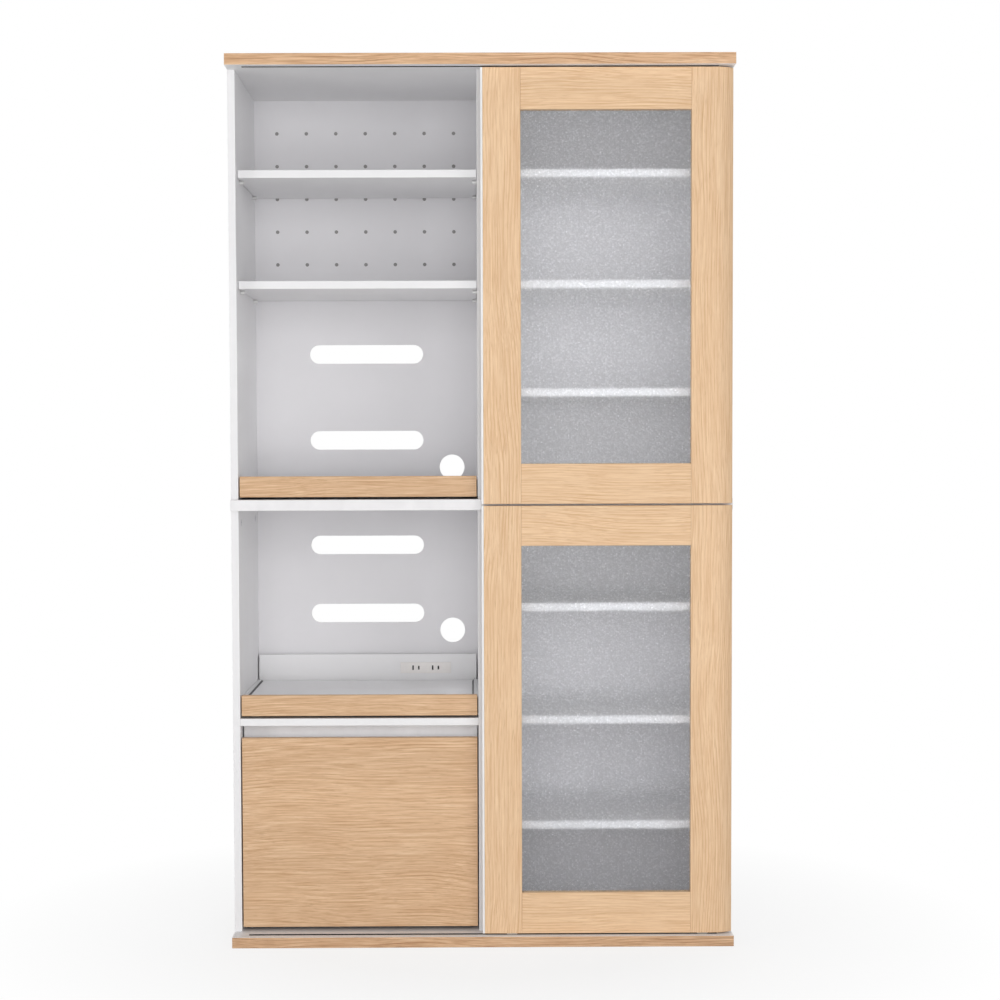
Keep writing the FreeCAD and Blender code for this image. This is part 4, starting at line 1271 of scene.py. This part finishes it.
@dataclass
class Studio:
    """Floor, white surround, soft lamps and the camera at the photograph's place."""

    camera_at: Point = (-0.02266, -4.3718, 1.0146)
    pitch_down: float = 0.0496
    turn_right: float = 0.0047
    roll: float = -0.0033
    focal_px: float = 2062.05
    centre_px: Pair = (480.26, 550.05)
    frame_px: float = 1000.0
    sensor: float = 36.0
    view_reach: float = 100.0
    white: tuple[float, float, float, float] = (1.0, 1.0, 1.0, 1.0)
    shown: float = 1.0
    surround: float = 0.3
    lamps: tuple[Lamp, ...] = (
        Lamp("front_lamp", (0.0, -4.8, 1.2), (2.4, 2.4), 65.0, mirrored=False),
        Lamp("right_lamp", (2.8, -3.8, 1.4), (2.0, 2.4), 11.0),
        Lamp("high_lamp", (1.9, -4.2, 2.8), (2.4, 2.0), 22.0),
        Lamp("left_lamp", (-3.6, -2.4, 1.2), (1.6, 2.4), 36.0),
        Lamp("low_lamp", (2.0, -3.6, 0.3), (1.6, 0.6), 9.0),
        Lamp("top_lamp", (0.0, 1.4, 4.0), (3.0, 2.0), 14.0),
        Lamp("back_lamp", (0.8, 4.4, 2.2), (2.4, 2.0), 45.0),
    )
    aim: Point = (0.0, 0.0, 0.9)
    floor_size: float = 40.0
    floor_drop: float = 0.0004
    floor_tones: tuple[Colour, Colour] = ((0.84, 0.84, 0.84), (0.86, 0.86, 0.86))
    floor_grain: float = 2.0
    floor_roughness: float = 0.9
    floor_gloss: float = 0.1
    floor_glow: Span = Span(0.45, 1.1, 0.8, 1.0)

    def hang(self, lamp: Lamp) -> None:
        """Hangs a lamp so that it faces the cupboard, out of the camera's sight.

        Args:
            lamp: the lamp.
        """
        bpy.ops.object.light_add(type="AREA", location=lamp.at)
        made = bpy.context.object
        made.name = lamp.name
        made.data.shape = "RECTANGLE"
        made.data.size, made.data.size_y = lamp.size
        made.data.energy = lamp.power
        made.rotation_euler = (Vector(self.aim) - Vector(lamp.at)).to_track_quat("-Z", "Y").to_euler()
        made.visible_camera = False
        made.visible_glossy = lamp.mirrored

    def floor(self) -> None:
        """A pale floor that keeps the cupboard's shadow and turns white away from it."""
        bpy.ops.mesh.primitive_plane_add(size=self.floor_size, location=(0, 0, -self.floor_drop))
        plane = bpy.context.object
        plane.name = "studio_floor"
        bench = SurfaceBench("pale_floor")
        mottle = bench.drifted(bench.noise(self.floor_grain, detail=2), *self.floor_tones)
        bench.plug(bench.shader.inputs["Base Color"], mottle)
        bench.shader.inputs["Roughness"].default_value = self.floor_roughness
        bench.shader.inputs["Specular IOR Level"].default_value = self.floor_gloss
        glow = bench.node("ShaderNodeEmission", {"Color": self.white, "Strength": self.shown}).outputs[0]
        away = bench.node("ShaderNodeVectorMath", {0: bench.place}, operation="LENGTH").outputs["Value"]
        share = bench.product(bench.seen(), bench.ranged(away, self.floor_glow))
        surface = bench.blended(share, bench.shader.outputs["BSDF"], glow)
        bench.plug(bench.output.inputs["Surface"], surface)
        plane.data.materials.append(bench.material)

    def surroundings(self) -> None:
        """A white surround that gives the pieces a plain even light."""
        world = bpy.data.worlds.new("white_surround")
        bpy.context.scene.world = world
        world.use_nodes = True
        bench = NodeBench(world.node_tree)
        light, shown = (
            bench.node("ShaderNodeBackground", {"Color": self.white, "Strength": strength}).outputs[0]
            for strength in (self.surround, self.shown)
        )
        output = bench.node("ShaderNodeOutputWorld")
        bench.plug(output.inputs["Surface"], bench.blended(bench.seen(), light, shown))

    def camera(self) -> None:
        """The camera at the photograph's place, angle and framing."""
        bpy.ops.object.camera_add(location=self.camera_at)
        made = bpy.context.object
        made.name = "photo_camera"
        turned = Matrix.Rotation(-self.turn_right, 4, "Z")
        turned = turned @ Matrix.Rotation(math.pi / 2 - self.pitch_down, 4, "X")
        turned = turned @ Matrix.Rotation(self.roll, 4, "Z")
        made.rotation_euler = turned.to_euler()
        made.data.sensor_width = self.sensor
        made.data.lens = self.focal_px * self.sensor / self.frame_px
        made.data.shift_x = 0.5 - self.centre_px[0] / self.frame_px
        made.data.shift_y = self.centre_px[1] / self.frame_px - 0.5
        made.data.clip_end = self.view_reach
        bpy.context.scene.camera = made

    def build(self) -> None:
        """Sets up the studio."""
        self.floor()
        self.surroundings()
        for lamp in self.lamps:
            self.hang(lamp)
        self.camera()
        bpy.context.scene.view_settings.view_transform = "Standard"


def main() -> None:
    """Builds the cupboard's pieces in order."""
    logging.basicConfig(level=logging.INFO, format="%(message)s")
    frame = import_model()
    shop = Workshop(frame)
    Carcass(shop).build()
    FixedGuides(shop).build()
    # The upper door's high hardware is near black, as painted shade in the gap under the top board.
    SlidingDoor(shop, "upper_door", low_hardware=ZINC, high_hardware=GUIDE_PAINTED_SHADE).build()
    SlidingDoor(shop, "lower_door", low_hardware=ZINC, high_hardware=NYLON).build()
    for tray in ("upper_tray", "lower_tray"):
        PullOut(shop, tray).build()
    Drawer(shop).build()
    Outlet(shop).build()
    Studio().build()
    LOG.info("%d pieces dressed", len(shop.made))


if __name__ == "__main__":
    main()
